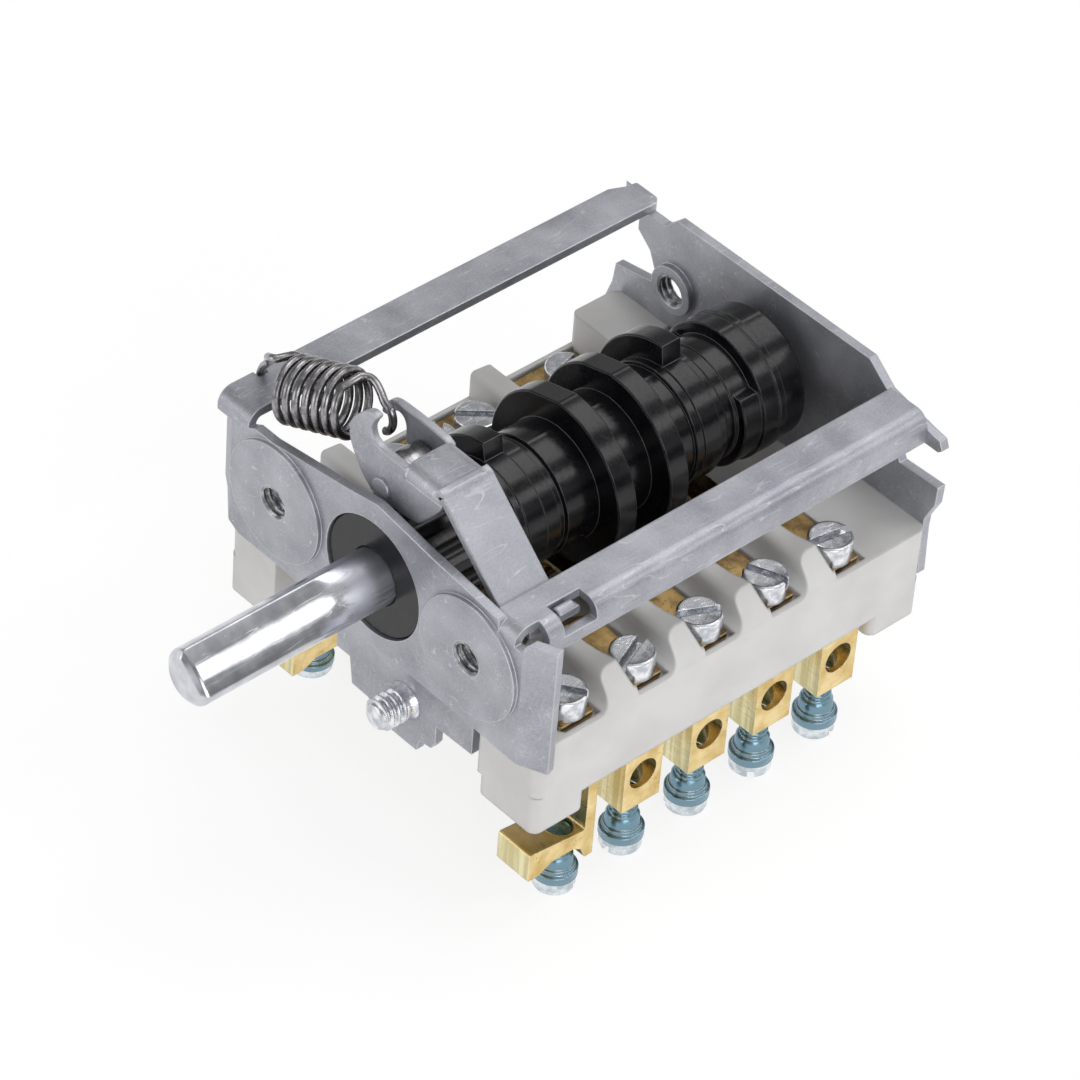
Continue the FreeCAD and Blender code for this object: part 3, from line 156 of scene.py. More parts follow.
def blend_colour(tree, amount, first, second):
    """The first colour passing into the second as amount goes from 0 to 1."""
    mix = add(tree, "ShaderNodeMix", {0: amount, 6: first, 7: second}, data_type="RGBA")
    return mix.outputs[2]


def span(tree, value, low, high, to_low=0.0, to_high=1.0):
    """A value from low to high, carried to the range to_low to to_high and held there."""
    inputs = {
        "Value": value, "From Min": low, "From Max": high,
        "To Min": to_low, "To Max": to_high,
    }
    return add(tree, "ShaderNodeMapRange", inputs).outputs[0]


def noise(tree, place, scale, detail):
    """Fractal noise at a place, as a value and as a colour."""
    inputs = {"Vector": place, "Scale": scale, "Detail": detail}
    return add(tree, "ShaderNodeTexNoise", inputs).outputs


def grey(level):
    """A neutral colour."""
    return (level, level, level, 1.0)


# %% [markdown]
# The set is a white sweep with one large soft box overhead, a narrow strip that
# draws the bright line on the shaft, and two weaker boxes at the sides. Metal
# needs something darker to mirror as well, so the sky has two dark bands.

# %% Floor, world and lamps
FLOOR_Z = CAD_BOX[0].z
FLOOR_HALF = 2.5
FLOOR_POWER = 1.08
FLOOR_GLOW = 0.75
SKY = (
    (0.0, 0.95), (0.2, 0.62), (0.4, 0.24), (0.52, 0.34),
    (0.66, 0.4), (0.75, 0.24), (0.88, 0.55), (1.0, 0.75),
)
LAMP_DISTANCE = 0.6

floor_mesh = bpy.data.meshes.new("floor")
floor_mesh.from_pydata(
    [(x * FLOOR_HALF, y * FLOOR_HALF, FLOOR_Z) for x, y in ((-1, -1), (1, -1), (1, 1), (-1, 1))],
    [],
    [(0, 1, 2, 3)],
)
floor = bpy.data.objects.new("floor", floor_mesh)
bpy.context.scene.collection.objects.link(floor)

floor_material = bpy.data.materials.new("floor_white")
tree = bare_tree(floor_material)
rays = add(tree, "ShaderNodeLightPath").outputs
seen = math_step(tree, "MAXIMUM", rays["Is Camera Ray"], rays["Is Glossy Ray"])
seen = math_step(tree, "MAXIMUM", seen, rays["Is Transmission Ray"])
lit = add(tree, "ShaderNodeBsdfDiffuse", {"Color": grey(0.9)})
own = add(tree, "ShaderNodeEmission", {"Color": grey(1.0), "Strength": FLOOR_POWER})
glow = product(tree, seen, FLOOR_GLOW)
both = add(tree, "ShaderNodeMixShader", {0: glow, 1: lit.outputs[0], 2: own.outputs[0]})
add(tree, "ShaderNodeOutputMaterial", {"Surface": both.outputs[0]})
floor_mesh.materials.append(floor_material)

world = bpy.data.worlds.new("studio")
tree = bare_tree(world)
direction = add(tree, "ShaderNodeTexCoord").outputs["Generated"]
height = add(tree, "ShaderNodeSeparateXYZ", {0: direction}).outputs[2]
ramp = add(tree, "ShaderNodeValToRGB", {0: height})
ramp.color_ramp.elements[0].color = grey(SKY[0][1])
ramp.color_ramp.elements[1].color = grey(SKY[-1][1])
for place, shade in SKY[1:-1]:
    ramp.color_ramp.elements.new(place).color = grey(shade)
straight = add(tree, "ShaderNodeLightPath").outputs["Is Camera Ray"]
sky = blend_colour(tree, straight, ramp.outputs[0], grey(1.0))
shine = add(tree, "ShaderNodeBackground", {"Color": sky, "Strength": 1.0})
add(tree, "ShaderNodeOutputWorld", {"Surface": shine.outputs[0]})
bpy.context.scene.world = world
bpy.context.scene.view_settings.view_transform = "Standard"


def soft_box(name, towards, wide, long, power):
    """A lamp in a direction from the box's middle, facing it. Its long side lies along Y."""
    lamp = bpy.data.lights.new(name, "AREA")
    lamp.shape = "RECTANGLE"
    lamp.size = wide
    lamp.size_y = long
    lamp.energy = power
    middle = (CAD_BOX[0] + CAD_BOX[1]) / 2
    away = Vector(towards).normalized()
    beside = Vector((0, 1, 0)).cross(away).normalized()
    holder = bpy.data.objects.new(name, lamp)
    facing = Matrix((beside, away.cross(beside), away)).transposed().to_4x4()
    holder.matrix_world = Matrix.Translation(middle + away * LAMP_DISTANCE) @ facing
    bpy.context.scene.collection.objects.link(holder)


soft_box("overhead_box", (-0.12, 0.4, 0.9), 0.4, 0.4, 1.05)
soft_box("strip_box", (0.574, 0.53, 0.621), 0.14, 0.6, 0.6)
soft_box("right_box", (0.95, -0.35, 0.42), 0.35, 0.35, 0.95)
soft_box("front_box", (-0.35, -0.95, 0.35), 0.35, 0.35, 0.6)
print("floor at", round(FLOOR_Z / MM, 2), "mm")

# %% [markdown]
# Effects that several finishes share are node groups with named sockets. All of
# them work in millimetres of the object's own space, so a grain is as fine on a
# screw as on a plate.

# %% Shared node groups
WHOLE = (1, 1, 1)
PATCH_SCALE = 0.45
PATCH_EDGE = 8.0
WANDER_SCALE = 2.5
EDGE_WEAR_AND_HIGHLIGHT_SCALE = 1.3
BEND_GAIN = 5.0
BEND_GATE = 12.0


def new_group(name, inputs, outputs):
    """A node group with float or vector sockets, and its input and output nodes."""
    group = bpy.data.node_groups.new(name, "ShaderNodeTree")
    for title, value in inputs:
        kind = "NodeSocketFloat" if isinstance(value, float) else "NodeSocketVector"
        made = group.interface.new_socket(name=title, in_out="INPUT", socket_type=kind)
        made.default_value = value
    for title, kind in outputs:
        group.interface.new_socket(name=title, in_out="OUTPUT", socket_type=kind)
    source = group.nodes.new("NodeGroupInput")
    sink = group.nodes.new("NodeGroupOutput")
    return group, source.outputs, sink.inputs


def vector_step(tree, operation, first, second):
    """The outputs of one sum on two vectors."""
    return add(tree, "ShaderNodeVectorMath", {0: first, 1: second}, operation=operation).outputs


def object_mm(tree, stretch=WHOLE):
    """Object coordinates in millimetres, each axis multiplied by the stretch vector."""
    place = add(tree, "ShaderNodeTexCoord").outputs["Object"]
    scaled = vector_step(tree, "MULTIPLY", place, (1 / MM,) * 3)
    return vector_step(tree, "MULTIPLY", scaled[0], stretch)[0]


def make_cloud_group():
    """Soft patches: fractal noise whose patches are about Size mm wide, stretched by Stretch."""
    group, given, result = new_group(
        "cloud", [("Size", 2.0), ("Stretch", WHOLE), ("Detail", 4.0)],
        [("Value", "NodeSocketFloat")],
    )
    place = object_mm(group, given["Stretch"])
    scale = math_step(group, "DIVIDE", 1.0, given["Size"])
    group.links.new(noise(group, place, scale, given["Detail"])[0], result["Value"])
    return group


def make_scratch_group():
    """Hairline scratches: the thin zero band of stretched noise, kept only in some patches."""
    group, given, result = new_group(
        "scratches", [("Size", 2.0), ("Stretch", WHOLE), ("Width", 0.02), ("Share", 0.5)],
        [("Mask", "NodeSocketFloat")],
    )
    place = object_mm(group, given["Stretch"])
    scale = math_step(group, "DIVIDE", 1.0, given["Size"])
    wave = noise(group, place, scale, 1.0)[0]
    off = math_step(group, "ABSOLUTE", difference(group, wave, 0.5))
    line = difference(group, 1.0, math_step(group, "DIVIDE", off, given["Width"]), True)
    patches = noise(group, object_mm(group), PATCH_SCALE, 2.0)[0]
    edge = difference(group, 1.0, given["Share"])
    kept = product(group, difference(group, patches, edge), PATCH_EDGE, True)
    group.links.new(product(group, line, kept), result["Mask"])
    return group


def make_speck_group():
    """Small dark spots: cells whose centre is nearer than Share of their Size."""
    group, given, result = new_group(
        "specks", [("Size", 0.5), ("Share", 0.25)], [("Mask", "NodeSocketFloat")]
    )
    place = object_mm(group)
    scale = math_step(group, "DIVIDE", 1.0, given["Size"])
    wander = noise(group, place, WANDER_SCALE, 2.0)[1]
    bent = vector_step(group, "ADD", place, wander)[0]
    cells = add(group, "ShaderNodeTexVoronoi", {"Vector": bent, "Scale": scale}).outputs[0]
    spot = difference(group, 1.0, math_step(group, "DIVIDE", cells, given["Share"]), True)
    group.links.new(spot, result["Mask"])
    return group


def make_edge_group():
    """Paler edges, for wear on metal and for a painted highlight on the drum's rims: the angle
    between the surface and a normal rounded over Width mm.
    """
    group, given, result = new_group(
        "edges", [("Width", 0.2), ("Grain", 0.5)],
        [("Mask", "NodeSocketFloat"), ("Normal", "NodeSocketVector")],
    )
    radius = product(group, given["Width"], MM)
    rounded = add(group, "ShaderNodeBevel", {"Radius": radius}, samples=6).outputs[0]
    flat = add(group, "ShaderNodeNewGeometry").outputs["Normal"]
    agree = vector_step(group, "DOT_PRODUCT", rounded, flat)["Value"]
    bend = difference(group, 1.0, agree)
    # The edge mask stands for wear on the metal parts and is a painted highlight on the drum's
    # rims.
    wear_and_highlight = noise(group, object_mm(group), EDGE_WEAR_AND_HIGHLIGHT_SCALE, 3.0)[0]
    uneven = product(group, difference(group, wear_and_highlight, 0.5), given["Grain"])
    mask = math_step(group, "ADD", product(group, bend, BEND_GAIN), uneven)
    gate = product(group, bend, BEND_GATE, True)
    group.links.new(product(group, mask, gate, True), result["Mask"])
    group.links.new(rounded, result["Normal"])
    return group


GROUPS = {
    "cloud": make_cloud_group(),
    "scratches": make_scratch_group(),
    "specks": make_speck_group(),
    "edges": make_edge_group(),
}
print("groups:", sorted(GROUPS))


def use(tree, name, **inputs):
    """The outputs of one shared group placed in a tree with its own values."""
    placed = add(tree, "ShaderNodeGroup")
    placed.node_tree = GROUPS[name]
    for title, value in inputs.items():
        put(tree, placed.inputs[title], value)
    return placed.outputs


def new_finish(name, **plain):
    """A material with a Principled BSDF. plain sets unlinked sockets by name."""
    material = bpy.data.materials.new(name)
    tree = bare_tree(material)
    shader = add(tree, "ShaderNodeBsdfPrincipled", plain)
    add(tree, "ShaderNodeOutputMaterial", {"Surface": shader.outputs[0]})
    return material, tree, shader.inputs


def bumps(tree, height, strength, depth, normal):
    """A normal bent by a height from 0 to 1 over a depth in millimetres."""
    inputs = {"Height": height, "Strength": strength, "Distance": depth * MM, "Normal": normal}
    return add(tree, "ShaderNodeBump", inputs).outputs[0]


def coordinate_mm(tree, axis):
    """One object coordinate in millimetres: 0, 1 or 2 for X, Y or Z."""
    return add(tree, "ShaderNodeSeparateXYZ", {0: object_mm(tree)}).outputs[axis]


# %% [markdown]
# Plated sheet steel is a dull blue grey with cloudy patches from the bath, fine
# rolling grain, a few hairline scratches and brighter worn edges. It is half
# metal, half oxide, so it mirrors only a soft blur of the lamps.

# %% Plated steel
SHEET_DARK = (0.31, 0.318, 0.355, 1)
SHEET_PALE = (0.485, 0.492, 0.535, 1)
SHEET_HAIR = (0.72, 0.73, 0.76, 1)
SHEET_EDGE = (0.8, 0.81, 0.85, 1)


def make_plated_steel():
    """Cloudy grey plating, rougher in its pale patches and more metallic on its rubbed edges."""
    material, tree, shader = new_finish("plated_steel")
    clouds = use(tree, "cloud", Size=5.0, Detail=5.0)["Value"]
    grain = use(tree, "cloud", Size=0.22, Detail=3.0)["Value"]
    mottle = math_step(tree, "ADD", product(tree, clouds, 0.65), product(tree, grain, 0.35))
    along = (1.0, 0.16, 1.0)
    hairs = use(tree, "scratches", Size=1.2, Stretch=along, Width=0.016, Share=0.55)["Mask"]
    edges = use(tree, "edges", Width=0.22, Grain=0.6)
    base = blend_colour(tree, span(tree, mottle, 0.36, 0.64), SHEET_DARK, SHEET_PALE)
    base = blend_colour(tree, product(tree, hairs, 0.5), base, SHEET_HAIR)
    base = blend_colour(tree, product(tree, edges["Mask"], 0.85), base, SHEET_EDGE)
    tree.links.new(base, shader["Base Color"])
    tree.links.new(span(tree, mottle, 0.3, 0.7, 0.34, 0.5), shader["Roughness"])
    tree.links.new(span(tree, edges["Mask"], 0.0, 1.0, 0.62, 0.9), shader["Metallic"])
    relief = difference(tree, grain, product(tree, hairs, 0.6))
    tree.links.new(bumps(tree, relief, 0.35, 0.02, edges["Normal"]), shader["Normal"])
    return material


PLATED = make_plated_steel()
print("made", PLATED.name)

# %% [markdown]
# The knob shaft is ground bright steel with a thin clear plating. Long polishing
# marks run along it, so the grain is stretched along Y. Near the plate it is
# duller.

# %% Bright steel
BAR_DARK = (0.5, 0.51, 0.55, 1)
BAR_PALE = (0.68, 0.69, 0.73, 1)
BAR_ROOT = (0.46, 0.47, 0.52, 1)
ROOT_FROM = -4.2
ROOT_TO = -1.0


def make_bright_steel():
    """Mirror-like steel with lengthwise grain and a matte grey root near the plate."""
    material, tree, shader = new_finish("bright_steel", Metallic=1.0)
    grain = use(tree, "cloud", Size=0.25, Stretch=(1.0, 0.05, 1.0), Detail=4.0)["Value"]
    clouds = use(tree, "cloud", Size=2.2, Detail=3.0)["Value"]
    along = (1.0, 0.12, 1.0)
    hairs = use(tree, "scratches", Size=0.9, Stretch=along, Width=0.015, Share=0.55)["Mask"]
    edges = use(tree, "edges", Width=0.25, Grain=0.3)
    place = math_step(tree, "ADD", coordinate_mm(tree, 1), product(tree, clouds, 2.4))
    root = span(tree, place, ROOT_FROM, ROOT_TO)
    base = blend_colour(tree, span(tree, clouds, 0.35, 0.65), BAR_DARK, BAR_PALE)
    base = blend_colour(tree, root, base, BAR_ROOT)
    tree.links.new(base, shader["Base Color"])
    rough = span(tree, grain, 0.3, 0.7, 0.1, 0.2)
    rough = math_step(tree, "ADD", rough, product(tree, hairs, 0.2))
    rough = math_step(tree, "ADD", rough, product(tree, root, 0.32))
    tree.links.new(rough, shader["Roughness"])
    relief = difference(tree, grain, product(tree, hairs, 0.5))
    tree.links.new(bumps(tree, relief, 0.25, 0.01, edges["Normal"]), shader["Normal"])
    return material


BRIGHT = make_bright_steel()
print("made", BRIGHT.name)

# %% [markdown]
# The base is pressed steatite: off-white, a little warmer where the press left
# dust, with a fine sandy skin and a faint wax-like gleam.

# %% Ceramic
BODY_WHITE = (0.71, 0.705, 0.7, 1)
BODY_WARM = (0.645, 0.635, 0.62, 1)
BODY_GRAIN = (0.42, 0.38, 0.34, 1)


def make_ceramic():
    """Off-white body with warm clouds, dark grains and rounded edges."""
    material, tree, shader = new_finish("steatite", Metallic=0.0, IOR=1.5)
    clouds = use(tree, "cloud", Size=6.0, Detail=5.0)["Value"]
    sand = use(tree, "cloud", Size=0.12, Detail=2.0)["Value"]
    grains = use(tree, "specks", Size=0.9, Share=0.1)["Mask"]
    edges = use(tree, "edges", Width=0.45, Grain=0.0)
    base = blend_colour(tree, span(tree, clouds, 0.38, 0.66), BODY_WHITE, BODY_WARM)
    base = blend_colour(tree, product(tree, grains, 0.25), base, BODY_GRAIN)
    tree.links.new(base, shader["Base Color"])
    tree.links.new(span(tree, sand, 0.3, 0.7, 0.48, 0.62), shader["Roughness"])
    tree.links.new(bumps(tree, sand, 0.3, 0.02, edges["Normal"]), shader["Normal"])
    return material


CERAMIC = make_ceramic()
print("made", CERAMIC.name)

# %% [markdown]
# The drum is black moulded plastic. It is semi-gloss, with a painted grey highlight
# along its edges and a little pale dust.

# %% Drum plastic
BLACK_DARK = (0.003, 0.003, 0.004, 1)
BLACK_PALE = (0.008, 0.008, 0.01, 1)
BLACK_EDGE_HIGHLIGHT = (0.26, 0.26, 0.28, 1)
DUST = (0.3, 0.29, 0.28, 1)


def make_drum_plastic():
    """Near-black plastic with a painted lighter grey highlight on its edges, and lighter grey
    dust.
    """
    material, tree, shader = new_finish("drum_black", Metallic=0.0, IOR=1.42)
    clouds = use(tree, "cloud", Size=2.5, Detail=4.0)["Value"]
    skin = use(tree, "cloud", Size=0.35, Detail=3.0)["Value"]
    dust = use(tree, "specks", Size=0.7, Share=0.09)["Mask"]
    edges = use(tree, "edges", Width=0.16, Grain=0.5)
    base = blend_colour(tree, span(tree, clouds, 0.35, 0.65), BLACK_DARK, BLACK_PALE)
    # The grey on the edges is a painted highlight, where the rims would catch the light.
    base = blend_colour(tree, product(tree, edges["Mask"], 0.6), base, BLACK_EDGE_HIGHLIGHT)
    base = blend_colour(tree, product(tree, dust, 0.35), base, DUST)
    tree.links.new(base, shader["Base Color"])
    tree.links.new(span(tree, skin, 0.3, 0.7, 0.15, 0.28), shader["Roughness"])
    tree.links.new(bumps(tree, skin, 0.2, 0.02, edges["Normal"]), shader["Normal"])
    return material


DRUM = make_drum_plastic()
print("made", DRUM.name)

# %% [markdown]
# Screws and springs are small, so their finish is mostly what they mirror: zinc
# in crystal patches on the contact screws, pale blue zinc on the clamp screws with
# a strong, darker blue above the heads, partly the zinc's colour and partly painted
# shade under the ceramic block, and dark drawn wire on the spring.

# %% Screw and spring finishes
BLUE_TINT_AND_SHADE = (0.19, 0.31, 0.38, 1)
HEAD_SHARE = 0.22
BLOCK_UNDER = -21.5
SIDES = ("left", "right")


def make_zinc(name, dark, pale, low_rough, high_rough, flange=None):
    """Zinc plating in patches between two colours, with scratches and bright edges.

    flange is a height in millimetres above which the plating is a strong, darker blue: partly its
    own colour and partly painted shade under the ceramic block."""
    material, tree, shader = new_finish(name, Metallic=1.0)
    patches = use(tree, "cloud", Size=0.9, Detail=4.0)["Value"]
    grain = use(tree, "cloud", Size=0.15, Detail=2.0)["Value"]
    along = (1.0, 0.3, 1.0)
    hairs = use(tree, "scratches", Size=0.5, Stretch=along, Width=0.03, Share=0.6)["Mask"]
    edges = use(tree, "edges", Width=0.18, Grain=0.4)
    base = blend_colour(tree, span(tree, patches, 0.38, 0.62), dark, pale)
    if flange is not None:
        # Above the flange height the colour turns darker blue: partly the zinc's colour, partly
        # painted shade under the block.
        blue_and_shade = span(tree, coordinate_mm(tree, 2), flange - 0.1, flange + 0.1)
        base = blend_colour(tree, blue_and_shade, base, BLUE_TINT_AND_SHADE)
    base = blend_colour(tree, product(tree, edges["Mask"], 0.6), base, grey(0.9))
    tree.links.new(base, shader["Base Color"])
    tree.links.new(span(tree, patches, 0.35, 0.65, high_rough, low_rough), shader["Roughness"])
    relief = difference(tree, grain, hairs)
    tree.links.new(bumps(tree, relief, 0.22, 0.02, edges["Normal"]), shader["Normal"])
    return material


def head_top(low):
    """Where a clamp screw's head ends, as a share of what stands out under the block."""
    return low + (BLOCK_UNDER - low) * HEAD_SHARE


ZINC = make_zinc("zinc_silver", (0.52, 0.54, 0.58, 1), (0.86, 0.87, 0.9, 1), 0.14, 0.3)
BLUE_ZINC = {
    side: make_zinc(
        "zinc_blue_" + side, (0.5, 0.56, 0.6, 1), (0.78, 0.83, 0.86, 1), 0.16, 0.3,
        head_top(box_mm("clamp_screws_" + side)[0][2]))
    for side in SIDES
}
SPRING = make_zinc("spring_wire", (0.17, 0.165, 0.17, 1), (0.36, 0.35, 0.36, 1), 0.2, 0.3)
THREAD_STEEL = make_zinc("thread_steel", (0.16, 0.16, 0.17, 1), (0.42, 0.43, 0.45, 1), 0.25, 0.4)
print("made", ZINC.name, BLUE_ZINC["left"].name, SPRING.name, THREAD_STEEL.name)

# %% [markdown]
# The terminals are machined brass with saw marks, and the bars under the screws
# have been stamped and are a darker brown, darker still in places.

# %% Brass
SAWN_DARK = (0.64, 0.56, 0.3, 1)
SAWN_PALE = (0.84, 0.78, 0.5, 1)
BRASS_EDGE = (0.95, 0.84, 0.58, 1)


def make_brass(name, dark, pale, stain, stain_share):
    """Brass with machining lines and stains. Faces towards the knob are paler and striped."""
    material, tree, shader = new_finish(name, Metallic=1.0)
    clouds = use(tree, "cloud", Size=2.4, Detail=4.0)["Value"]
    lines = use(tree, "cloud", Size=0.16, Stretch=(0.12, 0.12, 1.0), Detail=3.0)["Value"]
    marks = use(tree, "cloud", Size=0.6, Stretch=(1.0, 1.0, 0.05), Detail=3.0)["Value"]
    damp = use(tree, "cloud", Size=1.6, Detail=3.0)["Value"]
    spots = use(tree, "specks", Size=0.55, Share=0.3)["Mask"]
    edges = use(tree, "edges", Width=0.2, Grain=0.4)
    normal = add(tree, "ShaderNodeTexCoord").outputs["Normal"]
    facing = add(tree, "ShaderNodeSeparateXYZ", {0: normal}).outputs[1]
    base = blend_colour(tree, span(tree, clouds, 0.36, 0.64), dark, pale)
    sawn = blend_colour(tree, span(tree, marks, 0.42, 0.6), SAWN_DARK, SAWN_PALE)
    base = blend_colour(tree, span(tree, facing, -0.8, -0.95), base, sawn)
    where = span(tree, damp, 0.56 - stain_share, 0.66 - stain_share)
    base = blend_colour(tree, product(tree, spots, where), base, stain)
    base = blend_colour(tree, product(tree, edges["Mask"], 0.5), base, BRASS_EDGE)
    tree.links.new(base, shader["Base Color"])
    tree.links.new(span(tree, lines, 0.3, 0.7, 0.22, 0.42), shader["Roughness"])
    tree.links.new(bumps(tree, lines, 0.3, 0.015, edges["Normal"]), shader["Normal"])
    return material


TERMINAL_BRASS = make_brass(
    "terminal_brass", (0.66, 0.47, 0.17, 1), (0.9, 0.71, 0.36, 1), (0.3, 0.17, 0.05, 1), 0.0)
CONTACT_BRASS = make_brass(
    "contact_brass", (0.2, 0.13, 0.06, 1), (0.5, 0.34, 0.14, 1), (0.1, 0.07, 0.04, 1), 0.17)
print("made", TERMINAL_BRASS.name, CONTACT_BRASS.name)

# %% [markdown]
# A CAD node is kept wherever its shape is right. It only gets its finish, by
# name, in its own material slots.

# %% Finishes of the CAD nodes
FINISHES = (
    ("terminal_", TERMINAL_BRASS),
    ("contact_bar_", CONTACT_BRASS),
    ("moving_contact_", CONTACT_BRASS),
    ("fixed_contact_", CONTACT_BRASS),
    ("contact_screws_", ZINC),
    ("clamp_screws_", BLUE_ZINC["right"]),
    ("ceramic_base", CERAMIC),
    ("cam_drum", DRUM),
    ("selector_shaft", BRIGHT),
    ("detent_spring", SPRING),
    ("detent_roller", SPRING),
    ("earth_stud", ZINC),
    ("", PLATED),
)
for name, node in NODES.items():
    finish = next(material for start, material in FINISHES if name.startswith(start))
    for place in range(len(node.data.materials)):
        node.data.materials[place] = finish
print("finished", len(NODES), "CAD nodes")

# %% [markdown]
# New pieces are grids of points worked out with numpy. A closed grid becomes a
# closed shell: rows run one way, columns the other, points that fall on each
# other at a pole or a seam are merged, and an open end is closed by one cap.

# %% Surfaces from grids
MERGE_WITHIN = 0.0005
QUAD = 4
FLANK = 1.6
ROOT_FLAT = 0.3


def grid_faces(rows, columns, first):
    """Corner numbers of the quads of a grid whose columns run round and close."""
    down, along = np.meshgrid(np.arange(rows - 1), np.arange(columns), indexing="ij")
    beside = (along + 1) % columns
    corners = (down * columns + along, down * columns + beside,
               (down + 1) * columns + beside, (down + 1) * columns + along)
    return np.stack(corners, axis=-1).reshape(-1, QUAD) + first


def make_piece(name, grids, body, finish, sharp):
    """One object from grids of points in millimetres, each an array (rows, columns, 3).

    Edges that turn by more than sharp degrees stay crisp."""
    points = np.concatenate([grid.reshape(-1, 3) for grid in grids]) * MM
    starts = np.cumsum([0] + [grid.shape[0] * grid.shape[1] for grid in grids])
    faces = np.concatenate([
        grid_faces(grid.shape[0], grid.shape[1], start) for grid, start in zip(grids, starts)])
    mesh = bpy.data.meshes.new(name)
    mesh.from_pydata(points.tolist(), [], faces.tolist())
    work = bmesh.new()
    work.from_mesh(mesh)
    bmesh.ops.remove_doubles(work, verts=work.verts, dist=MERGE_WITHIN * MM)
    bmesh.ops.holes_fill(work, edges=[edge for edge in work.edges if edge.is_boundary], sides=0)
    bmesh.ops.triangulate(work, faces=[face for face in work.faces if len(face.verts) > QUAD])
    bmesh.ops.recalc_face_normals(work, faces=work.faces)
    work.to_mesh(mesh)
    work.free()
    mesh.polygons.foreach_set("use_smooth", np.ones(len(mesh.polygons), dtype=bool))
    mesh.set_sharp_from_angle(angle=math.radians(sharp))
    mesh.materials.append(finish)
    piece = bpy.data.objects.new(name, mesh)
    bpy.context.scene.collection.objects.link(piece)
    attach(piece, body)
    return piece


def lathe(stations, centre=(0.0, 0.0), along="y", count=96):
    """A turned shell. A station is a place on the axis and a radius, or one radius per angle.

    Round the Y axis the angle starts straight up and turns towards +X, as on a clock face
    seen from the knob. Round the Z axis it starts at +X and turns towards +Y."""
    angle = np.linspace(0, 2 * np.pi, count, endpoint=False)
    place = np.array([[station[0]] * count for station in stations])
    radius = np.array([np.broadcast_to(station[1], count) for station in stations], dtype=float)
    first, second = (np.sin, np.cos) if along == "y" else (np.cos, np.sin)
    beside = centre[0] + radius * first(angle)
    above = centre[1] + radius * second(angle)
    return np.stack((beside, place, above) if along == "y" else (beside, above, place), axis=-1)


def thread(start, end, core, crest, pitch, count=96, fine=10):
    """Stations of a screw thread: the radius rises and falls once per pitch and once per turn."""
    angle = np.linspace(0, 1, count, endpoint=False)
    steps = np.linspace(start, end, max(2, int(abs(end - start) / pitch * fine) + 1))
    stations = []
    for place in steps:
        wave = np.abs(((place - start) / pitch + angle) % 1.0 - 0.5) * 2
        stations.append((place, core + (crest - core) * np.clip(wave * FLANK - ROOT_FLAT, 0, 1)))
    return stations


# %% [markdown]
# The drum is one turned shell. Its radius also depends on the clock angle: twelve
# detent notches, a first cam that rises on one side only, a flat on two cams, half
# a cam near the rear, a scoop in the rear drum and the thin line where the two
# halves of the mould met.

# %% Cam drum
DRUM_COUNT = 360
CLOCK = np.linspace(-np.pi, np.pi, DRUM_COUNT, endpoint=False) + np.pi
CLOCK = np.where(CLOCK > np.pi, CLOCK - 2 * np.pi, CLOCK)
SEAM_TURN = math.radians(-1.5)
SEAM_WIDE = 0.16
BARREL = 6.5
GROOVE = 6.1
JOURNAL = 6.62
NECK = 5.7
CAM_FOOT = 6.9
CAM_THICK = 2.45
CAM_RAMP = 2.0
FIRST_CAM = 8.6
EDGE = 0.15
JOURNAL_END = 2.4
WHEEL_FRONT = 2.9
WHEEL_REAR = 8.6
WHEEL_EDGE = 0.12
WHEEL_CREST = 6.6
NOTCHES = 12
NOTCH_DEEP = 0.7
NOTCH_RADIUS = 1.5
WHEEL_TURN = math.radians(-8.0)
SCOOP_LEVEL = 3.9
SCOOP_FLOOR = 6.3
REAR_RIM = 7.5
REAR_GROOVE = 7.4
SKIRT = 7.2
TAIL = 4.0
SHAFT_GAP = 0.05
drum_low, drum_high = box_mm("cam_drum")
shaft_low, shaft_high = box_mm("selector_shaft")
CAM_RADIUS = float(drum_high[0])
FRONT_Y = float(drum_low[1])
REAR_Y = float(drum_high[1])
SHAFT_RADIUS = float(shaft_high[0])
SHAFT_TIP = float(shaft_low[1])
SHAFT_END = float(shaft_high[1])


def seam(radius, height=0.07):
    """The mould's parting bead on a rim: a narrow bell at two opposite clock angles."""
    bead = 0.0
    for turn in (SEAM_TURN, SEAM_TURN + np.pi):
        away = np.abs(np.angle(np.exp(1j * (CLOCK - turn)))) * radius
        bead = bead + height * np.exp(-((away / SEAM_WIDE) ** 2))
    return radius + bead


def with_flat(radius, start, end):
    """A rim cut straight between two clock angles in degrees.

    There the radius is the chord's distance over the cosine of the angle from its middle."""
    start, end = math.radians(start), math.radians(end)
    middle = (start + end) / 2
    chord = radius * math.cos((end - start) / 2)
    inside = (CLOCK > start) & (CLOCK < end)
    return np.where(inside, chord / np.cos(CLOCK - middle), seam(radius, 0.05))


def detent_wheel():
    """A rim with round notches: circles of the notch radius bite it at even angles."""
    reach = WHEEL_CREST - NOTCH_DEEP + NOTCH_RADIUS
    step = 2 * np.pi / NOTCHES
    turned = np.pi / 2 - CLOCK - WHEEL_TURN
    away = turned % step - step / 2
    inside = NOTCH_RADIUS ** 2 - (reach * np.sin(away)) ** 2
    bite = reach * np.cos(away) - np.sqrt(np.maximum(inside, 0))
    return np.where(inside > 0, np.minimum(bite, WHEEL_CREST), WHEEL_CREST)


def half_cam(low, high, start=-178.0, end=0.0):
    """The high radius between two clock angles in degrees and the low one elsewhere."""
    degrees = np.degrees(CLOCK)
    up = np.clip((degrees - start) / CAM_RAMP, 0, 1)
    down = np.clip((end - degrees) / CAM_RAMP, 0, 1)
    return low + (high - low) * up * down


